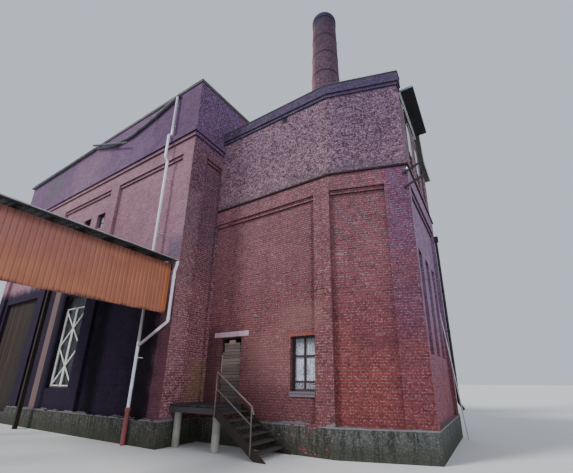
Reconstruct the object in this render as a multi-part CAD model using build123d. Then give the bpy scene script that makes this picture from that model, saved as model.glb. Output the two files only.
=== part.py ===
"""Old brick factory building: a tall block, a lower block with a splayed corner, a round chimney,
a sheeted yard canopy and a door stair.

Millimetres, +Z up. While it is drawn, X runs along the yard fronts, Y runs back into the building,
and the front right corner of the lower block is X 0, Y 0. Heights count from the lowest ground.
At the end everything is moved so that the middle of the footprint lies on the origin.
"""

from build123d import *
import math
import os

os.makedirs("parts", exist_ok=True)

# Brickwork
WALL_THICK = 500
PANEL_DEPTH = 120
PLINTH_PROUD = 30
SEAT = 0.3
CLEAR = 200

# Lower block, in plan
LOW_FRONT_LENGTH = 4990
SPLAY_RUN = 2390
SPLAY_DEPTH = 745
LOW_DEPTH = 4670
MID_PIER = 568
SPLAY_PIER = 740
SIDE_PIER = 250

# Lower block, heights
PLINTH_TOP = 750
LOW_PANEL_HEAD = 7660
HEAD_STEP = 130
LEDGE_OVER = 710
LEDGE_LOW = LOW_PANEL_HEAD + LEDGE_OVER
LEDGE_HEIGHT = 60
LEDGE_TOP = LEDGE_LOW + LEDGE_HEIGHT
LEDGE_PROUD = 45
UPPER_SETBACK = 40
TOP_BAND_LOW = 11730
TOP_BAND_PROUD = 40
TOP_BAND_HEIGHT = 530
LOW_TOP = TOP_BAND_LOW + TOP_BAND_HEIGHT
PARAPET_HEIGHT = 400
FLAT_ROOF_TOP = LOW_TOP - PARAPET_HEIGHT
CAP_THICK = 25
CAP_REACH = 20
ROOF_THICK = 160
ROOF_BREAK = 2930
ROOF_FOOT = 3350
ROOF_DROP = 1030
REAR_SLOPE = 1.5
EAVE_REACH = 150
HOOD_REACH = 460
HOOD_THICK = 80
HOOD_BATTEN = (60, 80)
VERGE_REACH = 170
VERGE_THICK = 25
VERGE_DEEP = 230
HOOD_GAP = 340
OUTRIGGER = (80, 120, 360)
OUTRIGGERS = (900, 2790)
LOW_FLOOR = 1210
UPPER_FLOOR = LEDGE_TOP
FLOOR_THICK = 220

# Tall block
TALL_SET_FORWARD = 1535
TALL_BACK_DEPTH = 7300
BAY = 4370
BAY_PIER = 640
CORNER_PIER = 590
SIDE_CORNER_PIER = 700
BAYS = 3
TALL_PANEL_HEAD = 10350
CORNICE_OVER = 760
CORNICE_STEPS = (170, 230)
CORNICE_LOW = TALL_PANEL_HEAD + CORNICE_OVER
CORNICE_HIGH = CORNICE_LOW + CORNICE_STEPS[0]
CORNICE_TOP = CORNICE_HIGH + CORNICE_STEPS[1]
CORNICE_PROUD = 60
TALL_WALL_TOP = 13900
TALL_ROOF_THICK = 140
TALL_ROOF_SLOPE = 4.4
TALL_ROOF_REACH = 40
TALL_FLOOR = 450
TALL_UPPER_FLOOR = 6800

# Openings in the walls
DOOR_LEFT = 604
DOOR_WIDTH = 946
DOOR_HEIGHT = 2110
DOOR_HEAD = LOW_FLOOR + DOOR_HEIGHT
LINTEL_OVER = 300
LINTEL_HEIGHT = 170
LINTEL_DEEP = 250
WINDOW_LEFT = 3513
WINDOW_WIDTH = 855
WINDOW_SILL = 1590
WINDOW_HEIGHT = 1580
WINDOW_HEAD = WINDOW_SILL + WINDOW_HEIGHT
SILL_HEIGHT = 140
SILL_PROUD = 40
SLIT_FIRST = 960
SLIT_WIDTH = 640
SLIT_PITCH = 1210
SLIT_SILL = 2635
SLIT_HEIGHT = 3295
SLIT_HEAD = SLIT_SILL + SLIT_HEIGHT
SLITS = 3
HATCH_OVER = 570
HATCH_HEIGHT = 1560
HATCH_SILL = UPPER_FLOOR + HATCH_OVER
HATCH_HEAD = HATCH_SILL + HATCH_HEIGHT
HATCH_GAPS = (0, 0, 260)
REAR_WINDOW_FIRST = 600
REAR_WINDOW_PITCH = 1600
SMALL_WINDOW = 660
SMALL_PITCH = 1220
SMALL_FIRST = 390
SMALL_SILL = 8680
SMALL_HEIGHT = 760
SMALL_HEAD = SMALL_SILL + SMALL_HEIGHT
TALL_WINDOW_SILL = 1560
TALL_WINDOW_HEIGHT = 4000
TALL_WINDOW_HEAD = TALL_WINDOW_SILL + TALL_WINDOW_HEIGHT
GATE_EDGE = 300
GATE_HEIGHT = 5450
GATE_HEAD = TALL_FLOOR + GATE_HEIGHT
FRAME_SET = 140
FRAME_DEEP = 90
FRAME_WIDE = 60
GLASS_THICK = 6
BOARD_THICK = 30
DOOR_BOARD_GAPS = (70, 50, 150)

# Iron arms at the corner
ARM_BACK = 175
ARM_REACH = 425
ARM_SIZE = 50
ARM_DROPS = (233, 735)
ARM_TILT = 31

# Chimney
CHIMNEY_X = -5800
CHIMNEY_Y = 6620
CHIMNEY_TOP = 27760
CHIMNEY_TOP_RADIUS = 845
CHIMNEY_TAPER = 0.0195
CHIMNEY_WALL = 300
PEDESTAL_HEIGHT = 6200
CAP_HEIGHT = 420
CAP_PROUD = 40
BAND_DROPS = (1860, 3590, 5410)
BAND_HEIGHT = 110
BAND_THICK = 12
PEDESTAL_CHAMFER = 60

# Canopy
CANOPY_FACE = -7690
CANOPY_WIDTH = 8110
CANOPY_REACH = 5900
CANOPY_SLOPE = 8.0
RAFTER_PITCH = 740
RAFTER_FIRST = 690
RAFTER_WIDE = 70
RAFTER_DEEP = 130
RAFTER_TAIL = 210
EAVE_HEIGHT = 5710
FASCIA_LOW = 3980
FASCIA_THICK = 30
BEAM_WIDE = 150
BEAM_DEEP = 220
POST_WIDE = 140
SHEET_THICK = 40
SHEET_REACH = 170
CANOPY_END = 80
FASCIA_GAP = 60
FASCIA_STUD = 60
FASCIA_RAIL = (40, 120)
WALL_POST = 400

# Gutters and pipes
GUTTER_RADIUS = 75
GUTTER_WALL = 6
PIPE_RADIUS = 50
PIPE_BEND = 1.2 * PIPE_RADIUS
SHOE_BEND = 1.6 * PIPE_RADIUS
PIPE_X = -8780
PIPE_GAP = 20
STANDPIPE_RADIUS = 68
STANDPIPE_TOP = 1070
SOCKET = (14, 120)
PIPE_DROP = 60
GUTTER_DROP = 45
GUTTER_BEND = 1500
GUTTER_SAG = ((-90, 0), (1400, 400), (3100, 740), (4600, 670), (5700, 340), (6500, 60))
GUTTER_SPLIT = 6700
GUTTER_FALL = 60
LOOSE_RADIUS = 60
LOOSE_LOW_END = 3200
LOOSE_RISE = 100
LOOSE_DROP = 1230
CANOPY_GUTTER_RADIUS = 60
BRANCH_RADIUS = 50
BRANCH_BEND = 1.3 * BRANCH_RADIUS
BRANCH_TOP = 3700
BRANCH_LOW = 2980
BRANCH_JOG = (25, 65, 110, 330)
BRANCH_GAP = 8
COLLAR_PROUD = 8
COLLAR_HEIGHT = 36
COLLAR_PARTS = (0.165, 0.38, 0.66, 0.92)
UPPER_COLLAR_PARTS = (0.25, 0.79)
TIE = 15
CORNICE_JOG = (180, 40)
PANEL_JOG = (130, 20)
SHOE_REACH = 260
SHOE_RISE = 300
SHOE_LOW = 120
HOPPER_LOW = 7460
HOPPER_HEIGHT = 240
HOPPER_SIZE = 150
SIDE_PIPE_GAP = 12
SIDE_SHOE = (400, 150, 140)
SIDE_COLLAR_PARTS = (0.2, 0.44, 0.68)
POLE_REACH = 240
POLE_RADIUS = 22
POLE_HIGH = 4200

# Door stair
LANDING_LENGTH = 1880
LANDING_WIDTH = 1205
LANDING_THICK = 60
STEPS = 7
GOING = 260
STRINGER_THICK = 50
STRINGER_DEEP = 240
TREAD_THICK = 40
LANDING_POST = 110
RAIL_HEIGHT = 950
RAIL_RADIUS = 20
MIDDLE_RAIL_RADIUS = 16
RAIL_POST_RADIUS = 18
RAIL_GAP = 440
RAIL_FOOT = 60
RAIL_SHORT = 200
RAIL_END = (70, 190)


def offset_corner(chain, i, distance, closed):
    """Corner i of a chain of wall faces, moved inwards (to the left of the way round) by a distance."""
    count = len(chain)
    here = Vector(*chain[i % count])
    normals = []
    if closed or i > 0:
        normals.append(left_normal(chain[(i - 1) % count], chain[i % count]))
    if closed or i < count - 1:
        normals.append(left_normal(chain[i % count], chain[(i + 1) % count]))
    if len(normals) == 1:
        move = normals[0]
    else:
        move = (normals[0] + normals[1]) / (1 + normals[0].dot(normals[1]))
    here = here + move * distance
    return (here.X, here.Y)


def left_normal(start, end):
    """Unit vector to the left of the way from start to end."""
    along = (Vector(*end) - Vector(*start)).normalized()
    return Vector(-along.Y, along.X)


def block(x0, x1, y0, y1, z0, z1):
    """Box between two corners."""
    middle = Pos((x0 + x1) / 2, (y0 + y1) / 2, (z0 + z1) / 2)
    return middle * Box(x1 - x0, y1 - y0, z1 - z0)


def prism(points, z0, z1):
    """Upright prism on a plan outline."""
    return Pos(0, 0, z0) * extrude(Polygon(*points, align=None), z1 - z0)


def side_prism(points, x0, x1):
    """Prism along X on an outline of (Y, Z) points."""
    return Pos(x0, 0, 0) * extrude(Plane.YZ * Polygon(*points, align=None), x1 - x0)


def front_prism(points, y0, y1):
    """Prism along Y on an outline of (X, Z) points."""
    return Pos(0, y1, 0) * extrude(Plane.XZ * Polygon(*points, align=None), y1 - y0)


class Wall:
    """One straight wall of a chain, with mitred ends. Local X runs along its outer face, local Y inwards."""

    def __init__(self, chain, i, closed):
        self.chain = chain
        self.i = i
        self.closed = closed
        start = Vector(*chain[i])
        end = Vector(*chain[(i + 1) % len(chain)])
        self.length = (end - start).length
        turn = math.degrees(math.atan2(end.Y - start.Y, end.X - start.X))
        self.place = Location((start.X, start.Y, 0), (0, 0, turn))

    def band(self, outwards, inwards, z0, z1):
        """Mitred slab between two offsets of the outer face."""
        near = [offset_corner(self.chain, self.i + k, -outwards, self.closed) for k in (0, 1)]
        far = [offset_corner(self.chain, self.i + k, inwards, self.closed) for k in (1, 0)]
        return prism(near + far, z0, z1)

    def stack(self, courses, inwards):
        """Slabs on top of each other: (lower height, upper height, how far it stands forward)."""
        body = None
        for low, high, outwards in courses:
            slab = self.band(outwards, inwards, low, high)
            body = slab if body is None else body + slab
        return body

    def box(self, s0, s1, d0, d1, z0, z1):
        """Box in the wall's own frame: along, inwards, up."""
        return self.place * block(s0, s1, d0, d1, z0, z1)

    def panel(self, s0, s1, z0, head):
        """Sunk panel whose head steps forward in two corbelled courses."""
        sunk = self.box(s0, s1, -CLEAR, PANEL_DEPTH, z0, head)
        half = self.box(s0, s1, -CLEAR, PANEL_DEPTH / 2, head, head + HEAD_STEP)
        return sunk + half

    def hole(self, s0, s1, z0, z1):
        """Opening right through the wall."""
        return self.box(s0, s1, -CLEAR, WALL_THICK + CLEAR, z0, z1)

    def frame(self, s0, s1, z0, z1):
        """Plain frame that fills the edge of an opening."""
        outer = self.box(s0, s1, PANEL_DEPTH + FRAME_SET, PANEL_DEPTH + FRAME_SET + FRAME_DEEP, z0, z1)
        inner = self.box(s0 + FRAME_WIDE, s1 - FRAME_WIDE, 0, WALL_THICK, z0 + FRAME_WIDE, z1 - FRAME_WIDE)
        return outer - inner

    def pane(self, s0, s1, z0, z1):
        """Glass that fills the frame."""
        middle = PANEL_DEPTH + FRAME_SET + FRAME_DEEP / 2
        return self.box(s0 + FRAME_WIDE, s1 - FRAME_WIDE, middle - GLASS_THICK / 2, middle + GLASS_THICK / 2,
                        z0 + FRAME_WIDE, z1 - FRAME_WIDE)


# Plan of the lower block: yard front, splayed corner, side and rear, open where it meets the tall block
LOW_LEFT = -(LOW_FRONT_LENGTH + SPLAY_RUN)
LOW_CHAIN = [(LOW_LEFT, -SPLAY_DEPTH), (-SPLAY_RUN, -SPLAY_DEPTH), (0, 0), (0, LOW_DEPTH),
             (LOW_LEFT, LOW_DEPTH)]
YARD, SPLAY, SIDE, REAR = (Wall(LOW_CHAIN, i, False) for i in range(4))

# Plan of the tall block: front, side towards the lower block, back, far side
TALL_FRONT = -SPLAY_DEPTH - TALL_SET_FORWARD
TALL_LENGTH = BAYS * BAY + (BAYS - 1) * BAY_PIER + 2 * CORNER_PIER
TALL_LEFT = LOW_LEFT - TALL_LENGTH
TALL_DEPTH = TALL_BACK_DEPTH - TALL_FRONT
TALL_CHAIN = [(TALL_LEFT, TALL_FRONT), (LOW_LEFT, TALL_FRONT), (LOW_LEFT, TALL_BACK_DEPTH),
              (TALL_LEFT, TALL_BACK_DEPTH)]
TALL = [Wall(TALL_CHAIN, i, True) for i in range(4)]
FAR_BAY = (TALL_DEPTH - 2 * CORNER_PIER - BAY_PIER) / 2


def slit_starts():
    """Where the openings in the side wall begin."""
    return [SLIT_FIRST + k * SLIT_PITCH for k in range(SLITS)]


def rear_window_starts():
    """Where the two windows in the rear wall begin."""
    first = SIDE_PIER + REAR_WINDOW_FIRST
    return [first, first + REAR_WINDOW_PITCH]


LOWER_COURSES = [(0, PLINTH_TOP, PLINTH_PROUD), (PLINTH_TOP, LEDGE_LOW, 0),
                 (LEDGE_LOW, LEDGE_TOP, LEDGE_PROUD)]
UPPER_COURSES = [(LEDGE_TOP, TOP_BAND_LOW, -UPPER_SETBACK), (TOP_BAND_LOW, TOP_BAND_LOW + HEAD_STEP, 0),
                 (TOP_BAND_LOW + HEAD_STEP, LOW_TOP, TOP_BAND_PROUD)]


def yard_wall():
    """Yard front of the lower block: one long panel with the door and a window."""
    wall = YARD.stack(LOWER_COURSES, WALL_THICK)
    wall -= YARD.panel(0, LOW_FRONT_LENGTH - MID_PIER, PLINTH_TOP, LOW_PANEL_HEAD)
    wall -= YARD.hole(DOOR_LEFT, DOOR_LEFT + DOOR_WIDTH, LOW_FLOOR, DOOR_HEAD)
    wall -= lintel_box()
    wall -= YARD.hole(WINDOW_LEFT, WINDOW_LEFT + WINDOW_WIDTH, WINDOW_SILL, WINDOW_HEAD)
    return wall - sill_box()


def lintel_box():
    """Lintel over the door, flush with the panel."""
    return YARD.box(DOOR_LEFT - LINTEL_OVER, DOOR_LEFT + DOOR_WIDTH + LINTEL_OVER, PANEL_DEPTH,
                    PANEL_DEPTH + LINTEL_DEEP, DOOR_HEAD, DOOR_HEAD + LINTEL_HEIGHT)


def sill_box():
    """Stone sill of the yard window, standing a little forward."""
    return YARD.box(WINDOW_LEFT, WINDOW_LEFT + WINDOW_WIDTH, PANEL_DEPTH - SILL_PROUD,
                    PANEL_DEPTH + FRAME_SET, WINDOW_SILL - SILL_HEIGHT, WINDOW_SILL)


def splay_wall():
    """Splayed front between the yard wall and the corner pier."""
    wall = SPLAY.stack(LOWER_COURSES, WALL_THICK)
    return wall - SPLAY.panel(0, SPLAY.length - SPLAY_PIER, PLINTH_TOP, LOW_PANEL_HEAD)


def side_wall():
    """Side of the lower block with its row of slit windows."""
    wall = SIDE.stack(LOWER_COURSES, WALL_THICK)
    wall -= SIDE.panel(SIDE_PIER, LOW_DEPTH - SIDE_PIER, PLINTH_TOP, LOW_PANEL_HEAD)
    for start in slit_starts():
        wall -= SIDE.hole(start, start + SLIT_WIDTH, SLIT_SILL, SLIT_HEAD)
    return wall


def rear_wall():
    """Rear of the lower block, beside the chimney's pedestal."""
    wall = REAR.stack(LOWER_COURSES, WALL_THICK)
    wall -= REAR.panel(SIDE_PIER, -LOW_LEFT - pedestal_width() - SIDE_PIER, PLINTH_TOP, LOW_PANEL_HEAD)
    for start in rear_window_starts():
        wall -= REAR.hole(start, start + WINDOW_WIDTH, WINDOW_SILL, WINDOW_HEAD)
    return wall


def parapet_back():
    """Y of the innermost point of the front parapet, where the roof and the side wall's slope begin."""
    return offset_corner(LOW_CHAIN, 2, WALL_THICK, False)[1]


def rear_roof_height(y):
    """Top of the lower block's rear roof at a place along Y."""
    return FLAT_ROOF_TOP - ROOF_DROP - (y - ROOF_FOOT) * math.tan(math.radians(REAR_SLOPE))


def above_low_roof(thickness):
    """Everything over the lower block's stepped roof, less a thickness, behind the parapet."""
    top = FLAT_ROOF_TOP - thickness
    far = LOW_DEPTH + 2 * WALL_THICK
    front = parapet_back()
    high = LOW_TOP + CLEAR
    outline = [(front, top), (ROOF_BREAK, top), (ROOF_FOOT, rear_roof_height(ROOF_FOOT) - thickness),
               (far, rear_roof_height(far) - thickness), (far, high), (front, high)]
    return side_prism(outline, LOW_LEFT - CLEAR, 2 * WALL_THICK)


def upper_wall(wall):
    """Wall over the ledge, with the darker oversailing band at its top."""
    return wall.stack(UPPER_COURSES, WALL_THICK)


def side_wall_upper():
    """Upper side wall, cut down to the roof behind the parapet, with three boarded openings."""
    wall = upper_wall(SIDE) - above_low_roof(ROOF_THICK)
    wall -= SIDE.hole(parapet_back(), ROOF_BREAK, under_hood() - HOOD_GAP, under_hood())
    for start, head in zip(slit_starts(), hatch_heads()):
        wall -= SIDE.hole(start, start + SLIT_WIDTH, HATCH_SILL, head)
    return wall


def under_hood():
    """Underside of the flat roof and of the hood that continues it."""
    return FLAT_ROOF_TOP - ROOF_THICK


def hatch_heads():
    """Heads of the upper openings in the side wall; the first runs up to the open gap under the hood."""
    return [under_hood() - HOOD_GAP, HATCH_HEAD, HATCH_HEAD]


def rear_wall_upper():
    """Upper rear wall under the eave."""
    return upper_wall(REAR) - above_low_roof(ROOF_THICK)


def low_roof():
    """Flat roof behind the parapet, stepping down to the rear roof, with a verge over the side wall."""
    whole_slab = above_low_roof(ROOF_THICK) - above_low_roof(0)
    front = parapet_back()
    slab = whole_slab & block(LOW_LEFT, -UPPER_SETBACK, front, LOW_DEPTH + EAVE_REACH, 0, LOW_TOP)
    slab += whole_slab & block(-UPPER_SETBACK, VERGE_REACH - VERGE_THICK, ROOF_BREAK,
                               LOW_DEPTH + EAVE_REACH, 0, LOW_TOP)
    strip = [offset_corner(LOW_CHAIN, i, WALL_THICK, False) for i in range(3)] + [(LOW_LEFT, front)]
    return slab + prism(strip, FLAT_ROOF_TOP - ROOF_THICK, FLAT_ROOF_TOP)


def roof_boards():
    """Verge board along the rear roof, and the batten under the hood with the beam ends that carry it."""
    top = above_low_roof(0)
    board = above_low_roof(VERGE_DEEP) - top
    board = board & block(VERGE_REACH - VERGE_THICK, VERGE_REACH, ROOF_BREAK, LOW_DEPTH + EAVE_REACH, 0,
                          LOW_TOP)
    wide, high = HOOD_BATTEN
    under = under_hood()
    edge = wide - UPPER_SETBACK
    timbers = block(-UPPER_SETBACK, edge, parapet_back(), ROOF_BREAK, under - high, under)
    across, deep, back = OUTRIGGER
    for y in OUTRIGGERS:
        timbers += block(edge - back, edge, y, y + across, under - high - deep, under - high)
        timbers += block(edge - back, -UPPER_SETBACK, y, y + across, under - high, under)
    return Compound([board, timbers])


def parapet_cap():
    """Thin felted cap on the parapet of the yard, splayed and side fronts."""
    cap = None
    for wall in (YARD, SPLAY, SIDE):
        strip = wall.band(TOP_BAND_PROUD + CAP_REACH, WALL_THICK + CAP_REACH, LOW_TOP, LOW_TOP + CAP_THICK)
        cap = strip if cap is None else cap + strip
    return cap - block(-2 * WALL_THICK, CLEAR, parapet_back(), 2 * LOW_DEPTH, 0, 2 * LOW_TOP)


def low_floors():
    """Ground floor and upper floor of the lower block."""
    plan = [offset_corner(LOW_CHAIN, i, WALL_THICK, False) for i in range(5)]
    lower = prism(plan, LOW_FLOOR - FLOOR_THICK, LOW_FLOOR)
    upper = prism(plan, UPPER_FLOOR - FLOOR_THICK, UPPER_FLOOR)
    return [lower, upper]


def low_window_places():
    """Every glazed opening of the lower block: wall, start, end, sill, head."""
    places = [(YARD, WINDOW_LEFT, WINDOW_LEFT + WINDOW_WIDTH, WINDOW_SILL, WINDOW_HEAD)]
    places += [(SIDE, s, s + SLIT_WIDTH, SLIT_SILL, SLIT_HEAD) for s in slit_starts()]
    places += [(REAR, s, s + WINDOW_WIDTH, WINDOW_SILL, WINDOW_HEAD) for s in rear_window_starts()]
    return places


def door_frame():
    """Timber frame in the doorway."""
    outer = YARD.box(DOOR_LEFT, DOOR_LEFT + DOOR_WIDTH, PANEL_DEPTH + FRAME_SET,
                     PANEL_DEPTH + FRAME_SET + FRAME_DEEP, LOW_FLOOR, DOOR_HEAD)
    inner = YARD.box(DOOR_LEFT + FRAME_WIDE, DOOR_LEFT + DOOR_WIDTH - FRAME_WIDE, 0, WALL_THICK,
                     0, DOOR_HEAD - FRAME_WIDE)
    return outer - inner


def door_boards():
    """Boards nailed across the doorway, in front of the frame."""
    back = PANEL_DEPTH + FRAME_SET
    left, right, over = DOOR_BOARD_GAPS
    return YARD.box(DOOR_LEFT + left, DOOR_LEFT + DOOR_WIDTH - right, back - BOARD_THICK, back, LOW_FLOOR,
                    DOOR_HEAD - over)


def hatch_frames():
    """Timber frames in the upper openings of the side wall."""
    front = UPPER_SETBACK + FRAME_SET
    frames = []
    for start, head in zip(slit_starts(), hatch_heads()):
        end = start + SLIT_WIDTH
        outer = SIDE.box(start, end, front, front + FRAME_DEEP, HATCH_SILL, head)
        inner = SIDE.box(start + FRAME_WIDE, end - FRAME_WIDE, 0, WALL_THICK, HATCH_SILL + FRAME_WIDE,
                         head - FRAME_WIDE)
        frames.append(outer - inner)
    return Compound(frames)


def hatch_boards():
    """Weathered boards over the upper openings, some of them gone from the top."""
    back = UPPER_SETBACK + FRAME_SET
    boards = []
    for start, gap in zip(slit_starts(), HATCH_GAPS):
        boards.append(SIDE.box(start, start + SLIT_WIDTH, back - BOARD_THICK, back, HATCH_SILL,
                               HATCH_HEAD - gap))
    return Compound(boards)


def hood():
    """Flat hood over the upper openings, carried by the wall top."""
    under = under_hood()
    return block(-UPPER_SETBACK, HOOD_REACH, parapet_back(), ROOF_BREAK, under, under + HOOD_THICK)


def corner_brackets():
    """Two iron arms on the splayed face that rise a little as they pass the front right corner."""
    half = ARM_SIZE / 2
    arms = []
    for drop in ARM_DROPS:
        tilted = Location((SPLAY.length, -half, LEDGE_LOW - drop), (0, -ARM_TILT, 0))
        arms.append(SPLAY.place * tilted * block(-ARM_BACK, ARM_REACH, -half, half, -half, half))
    return Compound(arms)


def under_tall_roof(lift):
    """Line (Y, Z) of the tall block's low saddle, lifted by an amount over the wall tops."""
    rise = math.tan(math.radians(TALL_ROOF_SLOPE)) * TALL_DEPTH / 2
    reach = TALL_ROOF_REACH
    fall = math.tan(math.radians(TALL_ROOF_SLOPE)) * reach
    middle = TALL_FRONT + TALL_DEPTH / 2
    base = TALL_WALL_TOP + lift
    return [(TALL_FRONT - reach, base - fall), (middle, base + rise), (TALL_BACK_DEPTH + reach, base - fall)]


def over_tall_walls():
    """Everything above the underside of the tall roof."""
    line = under_tall_roof(0)
    high = 2 * TALL_WALL_TOP
    outline = line + [(line[2][0] + WALL_THICK, high), (line[0][0] - WALL_THICK, high)]
    return side_prism(outline, TALL_LEFT - 2 * WALL_THICK, LOW_LEFT + 2 * WALL_THICK)


TALL_COURSES = [(0, PLINTH_TOP, PLINTH_PROUD), (PLINTH_TOP, CORNICE_LOW, 0),
                (CORNICE_LOW, CORNICE_HIGH, CORNICE_PROUD), (CORNICE_HIGH, CORNICE_TOP, 2 * CORNICE_PROUD),
                (CORNICE_TOP, TALL_WALL_TOP + 3 * CLEAR, 0)]


def tall_wall(i):
    """One wall of the tall block up to the roof, still plain."""
    return TALL[i].stack(TALL_COURSES, WALL_THICK) - over_tall_walls()


def bay_starts():
    """Where the sunk bays of the long walls begin."""
    return [CORNER_PIER + k * (BAY + BAY_PIER) for k in range(BAYS)]


def small_starts(bay):
    """Where the two small high windows of a bay begin, on the front."""
    right = bay + BAY - SMALL_FIRST - SMALL_WINDOW
    return [right - SMALL_PITCH, right]


def tall_front_places():
    """Glazed openings in the tall front: the two far bays have no blank wall."""
    places = []
    for bay in bay_starts()[:BAYS - 1]:
        for start in small_starts(bay):
            places.append((TALL[0], start, start + SMALL_WINDOW, SMALL_SILL, SMALL_HEAD))
    bay = bay_starts()[BAYS - 2]
    first, last = small_starts(bay)
    places.append((TALL[0], first, last + SMALL_WINDOW, TALL_WINDOW_SILL, TALL_WINDOW_HEAD))
    return places


def tall_back_places():
    """Glazed openings in the back wall: the same pattern in every bay that is clear of the pedestal."""
    places = []
    for bay in bay_starts():
        first, last = small_starts(bay)
        places.append((TALL[2], first, first + SMALL_WINDOW, SMALL_SILL, SMALL_HEAD))
        places.append((TALL[2], last, last + SMALL_WINDOW, SMALL_SILL, SMALL_HEAD))
        places.append((TALL[2], first, last + SMALL_WINDOW, TALL_WINDOW_SILL, TALL_WINDOW_HEAD))
    return places


def tall_front_wall():
    """Front of the tall block: three sunk bays, high windows, a tall window and a gateway."""
    wall = tall_wall(0)
    for bay in bay_starts():
        wall -= TALL[0].panel(bay, bay + BAY, PLINTH_TOP, TALL_PANEL_HEAD)
    for face, s0, s1, z0, z1 in tall_front_places():
        wall -= face.hole(s0, s1, z0, z1)
    return wall - gate_hole()


def gate_span():
    """Ends of the gateway in the far bay."""
    start = bay_starts()[0] + GATE_EDGE
    return start, start + BAY - 2 * GATE_EDGE


def gate_hole():
    """Gateway in the far bay, from the floor up."""
    s0, s1 = gate_span()
    return TALL[0].hole(s0, s1, TALL_FLOOR, GATE_HEAD)


def gate_boards():
    """Tan boarding that closes the gateway."""
    s0, s1 = gate_span()
    back = PANEL_DEPTH + FRAME_SET
    return TALL[0].box(s0, s1, back, back + 2 * BOARD_THICK, TALL_FLOOR, GATE_HEAD)


def tall_side_wall():
    """Side of the tall block: a sunk panel beside the lower block, plain where that stands against it."""
    wall = tall_wall(1)
    wall -= TALL[1].panel(SIDE_CORNER_PIER, TALL_SET_FORWARD, PLINTH_TOP, TALL_PANEL_HEAD)
    out = LOW_LEFT + WALL_THICK
    wall -= block(LOW_LEFT, out, -SPLAY_DEPTH - PLINTH_PROUD, LOW_DEPTH + PLINTH_PROUD, 0, LEDGE_TOP)
    wall -= block(LOW_LEFT, out, -SPLAY_DEPTH + UPPER_SETBACK, LOW_DEPTH, LEDGE_TOP, TALL_WALL_TOP)
    return wall


def tall_back_wall():
    """Back of the tall block."""
    wall = tall_wall(2)
    for bay in bay_starts():
        wall -= TALL[2].panel(bay, bay + BAY, PLINTH_TOP, TALL_PANEL_HEAD)
    for face, s0, s1, z0, z1 in tall_back_places():
        wall -= face.hole(s0, s1, z0, z1)
    return wall


def tall_far_wall():
    """Far side of the tall block, with two blank sunk bays."""
    wall = tall_wall(3)
    for start in (CORNER_PIER, CORNER_PIER + FAR_BAY + BAY_PIER):
        wall -= TALL[3].panel(start, start + FAR_BAY, PLINTH_TOP, TALL_PANEL_HEAD)
    return wall


def tall_roof():
    """Low saddle roof of the tall block."""
    under = under_tall_roof(0)
    over = under_tall_roof(TALL_ROOF_THICK)
    return side_prism(under + over[::-1], TALL_LEFT - TALL_ROOF_REACH, LOW_LEFT + TALL_ROOF_REACH)


def tall_floors():
    """Ground floor and upper floor of the tall block."""
    plan = [offset_corner(TALL_CHAIN, i, WALL_THICK, True) for i in range(4)]
    lower = prism(plan, TALL_FLOOR - FLOOR_THICK, TALL_FLOOR)
    upper = prism(plan, TALL_UPPER_FLOOR - FLOOR_THICK, TALL_UPPER_FLOOR)
    return [lower, upper]


def glazed_places():
    """Every glazed opening of the building: wall, start, end, sill, head."""
    return tall_front_places() + tall_back_places() + low_window_places()


def pedestal_width():
    """The chimney's pedestal reaches as far beyond its axis as the tall block is from it."""
    return 2 * (CHIMNEY_X - LOW_LEFT)


def chimney_radius(height):
    """Outer radius of the shaft at a height."""
    return CHIMNEY_TOP_RADIUS + CHIMNEY_TAPER * (CHIMNEY_TOP - height)


def chimney_pedestal():
    """Square brick pedestal in the corner behind the lower block."""
    x0 = LOW_LEFT + PLINTH_PROUD
    x1 = LOW_LEFT + pedestal_width()
    y0 = LOW_DEPTH + PLINTH_PROUD
    body = block(x0, x1, y0, 2 * CHIMNEY_Y - y0, 0, PEDESTAL_HEIGHT)
    return chamfer(body.edges().group_by(Axis.Z)[-1], PEDESTAL_CHAMFER)


def chimney_shaft():
    """Round tapering shaft with an oversailing head and an open flue."""
    low = PEDESTAL_HEIGHT
    cap = CHIMNEY_TOP - CAP_HEIGHT
    r_low = chimney_radius(low)
    r_cap = chimney_radius(cap)
    r_rim = chimney_radius(CHIMNEY_TOP) + CAP_PROUD
    outline = Polyline((r_low - CHIMNEY_WALL, low), (r_low, low), (r_cap, cap), (r_rim, cap + CAP_PROUD),
                       (r_rim, CHIMNEY_TOP - CAP_PROUD), (r_rim - CAP_PROUD, CHIMNEY_TOP),
                       (chimney_radius(CHIMNEY_TOP) - CHIMNEY_WALL, CHIMNEY_TOP), close=True)
    face = Plane.XZ * make_face(outline)
    return Pos(CHIMNEY_X, CHIMNEY_Y, 0) * revolve(face, Axis.Z)


def chimney_bands():
    """Iron hoops round the shaft."""
    hoops = []
    for drop in BAND_DROPS:
        low = CHIMNEY_TOP - CAP_HEIGHT - drop
        high = low + BAND_HEIGHT
        r_low = chimney_radius(low)
        r_high = chimney_radius(high)
        outline = Polyline((r_low, low), (r_low + BAND_THICK, low), (r_high + BAND_THICK, high),
                           (r_high, high), close=True)
        hoops.append(Pos(CHIMNEY_X, CHIMNEY_Y, 0) * revolve(Plane.XZ * make_face(outline), Axis.Z))
    return Compound(hoops)


CANOPY_FAR = CANOPY_FACE - CANOPY_WIDTH
CANOPY_OUTER = TALL_FRONT - CANOPY_REACH
CANOPY_RISE = math.tan(math.radians(CANOPY_SLOPE))


def canopy_height(x):
    """Underside of the rafters at a place along X."""
    return EAVE_HEIGHT + (CANOPY_FACE - x) * CANOPY_RISE


def canopy_layer(x0, x1, y0, y1, low, high):
    """Slab that follows the canopy's slope, between two heights over the rafters' underside."""
    outline = [(x0, canopy_height(x0) + low), (x1, canopy_height(x1) + low), (x1, canopy_height(x1) + high),
               (x0, canopy_height(x0) + high)]
    return front_prism(outline, y0, y1)


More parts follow.
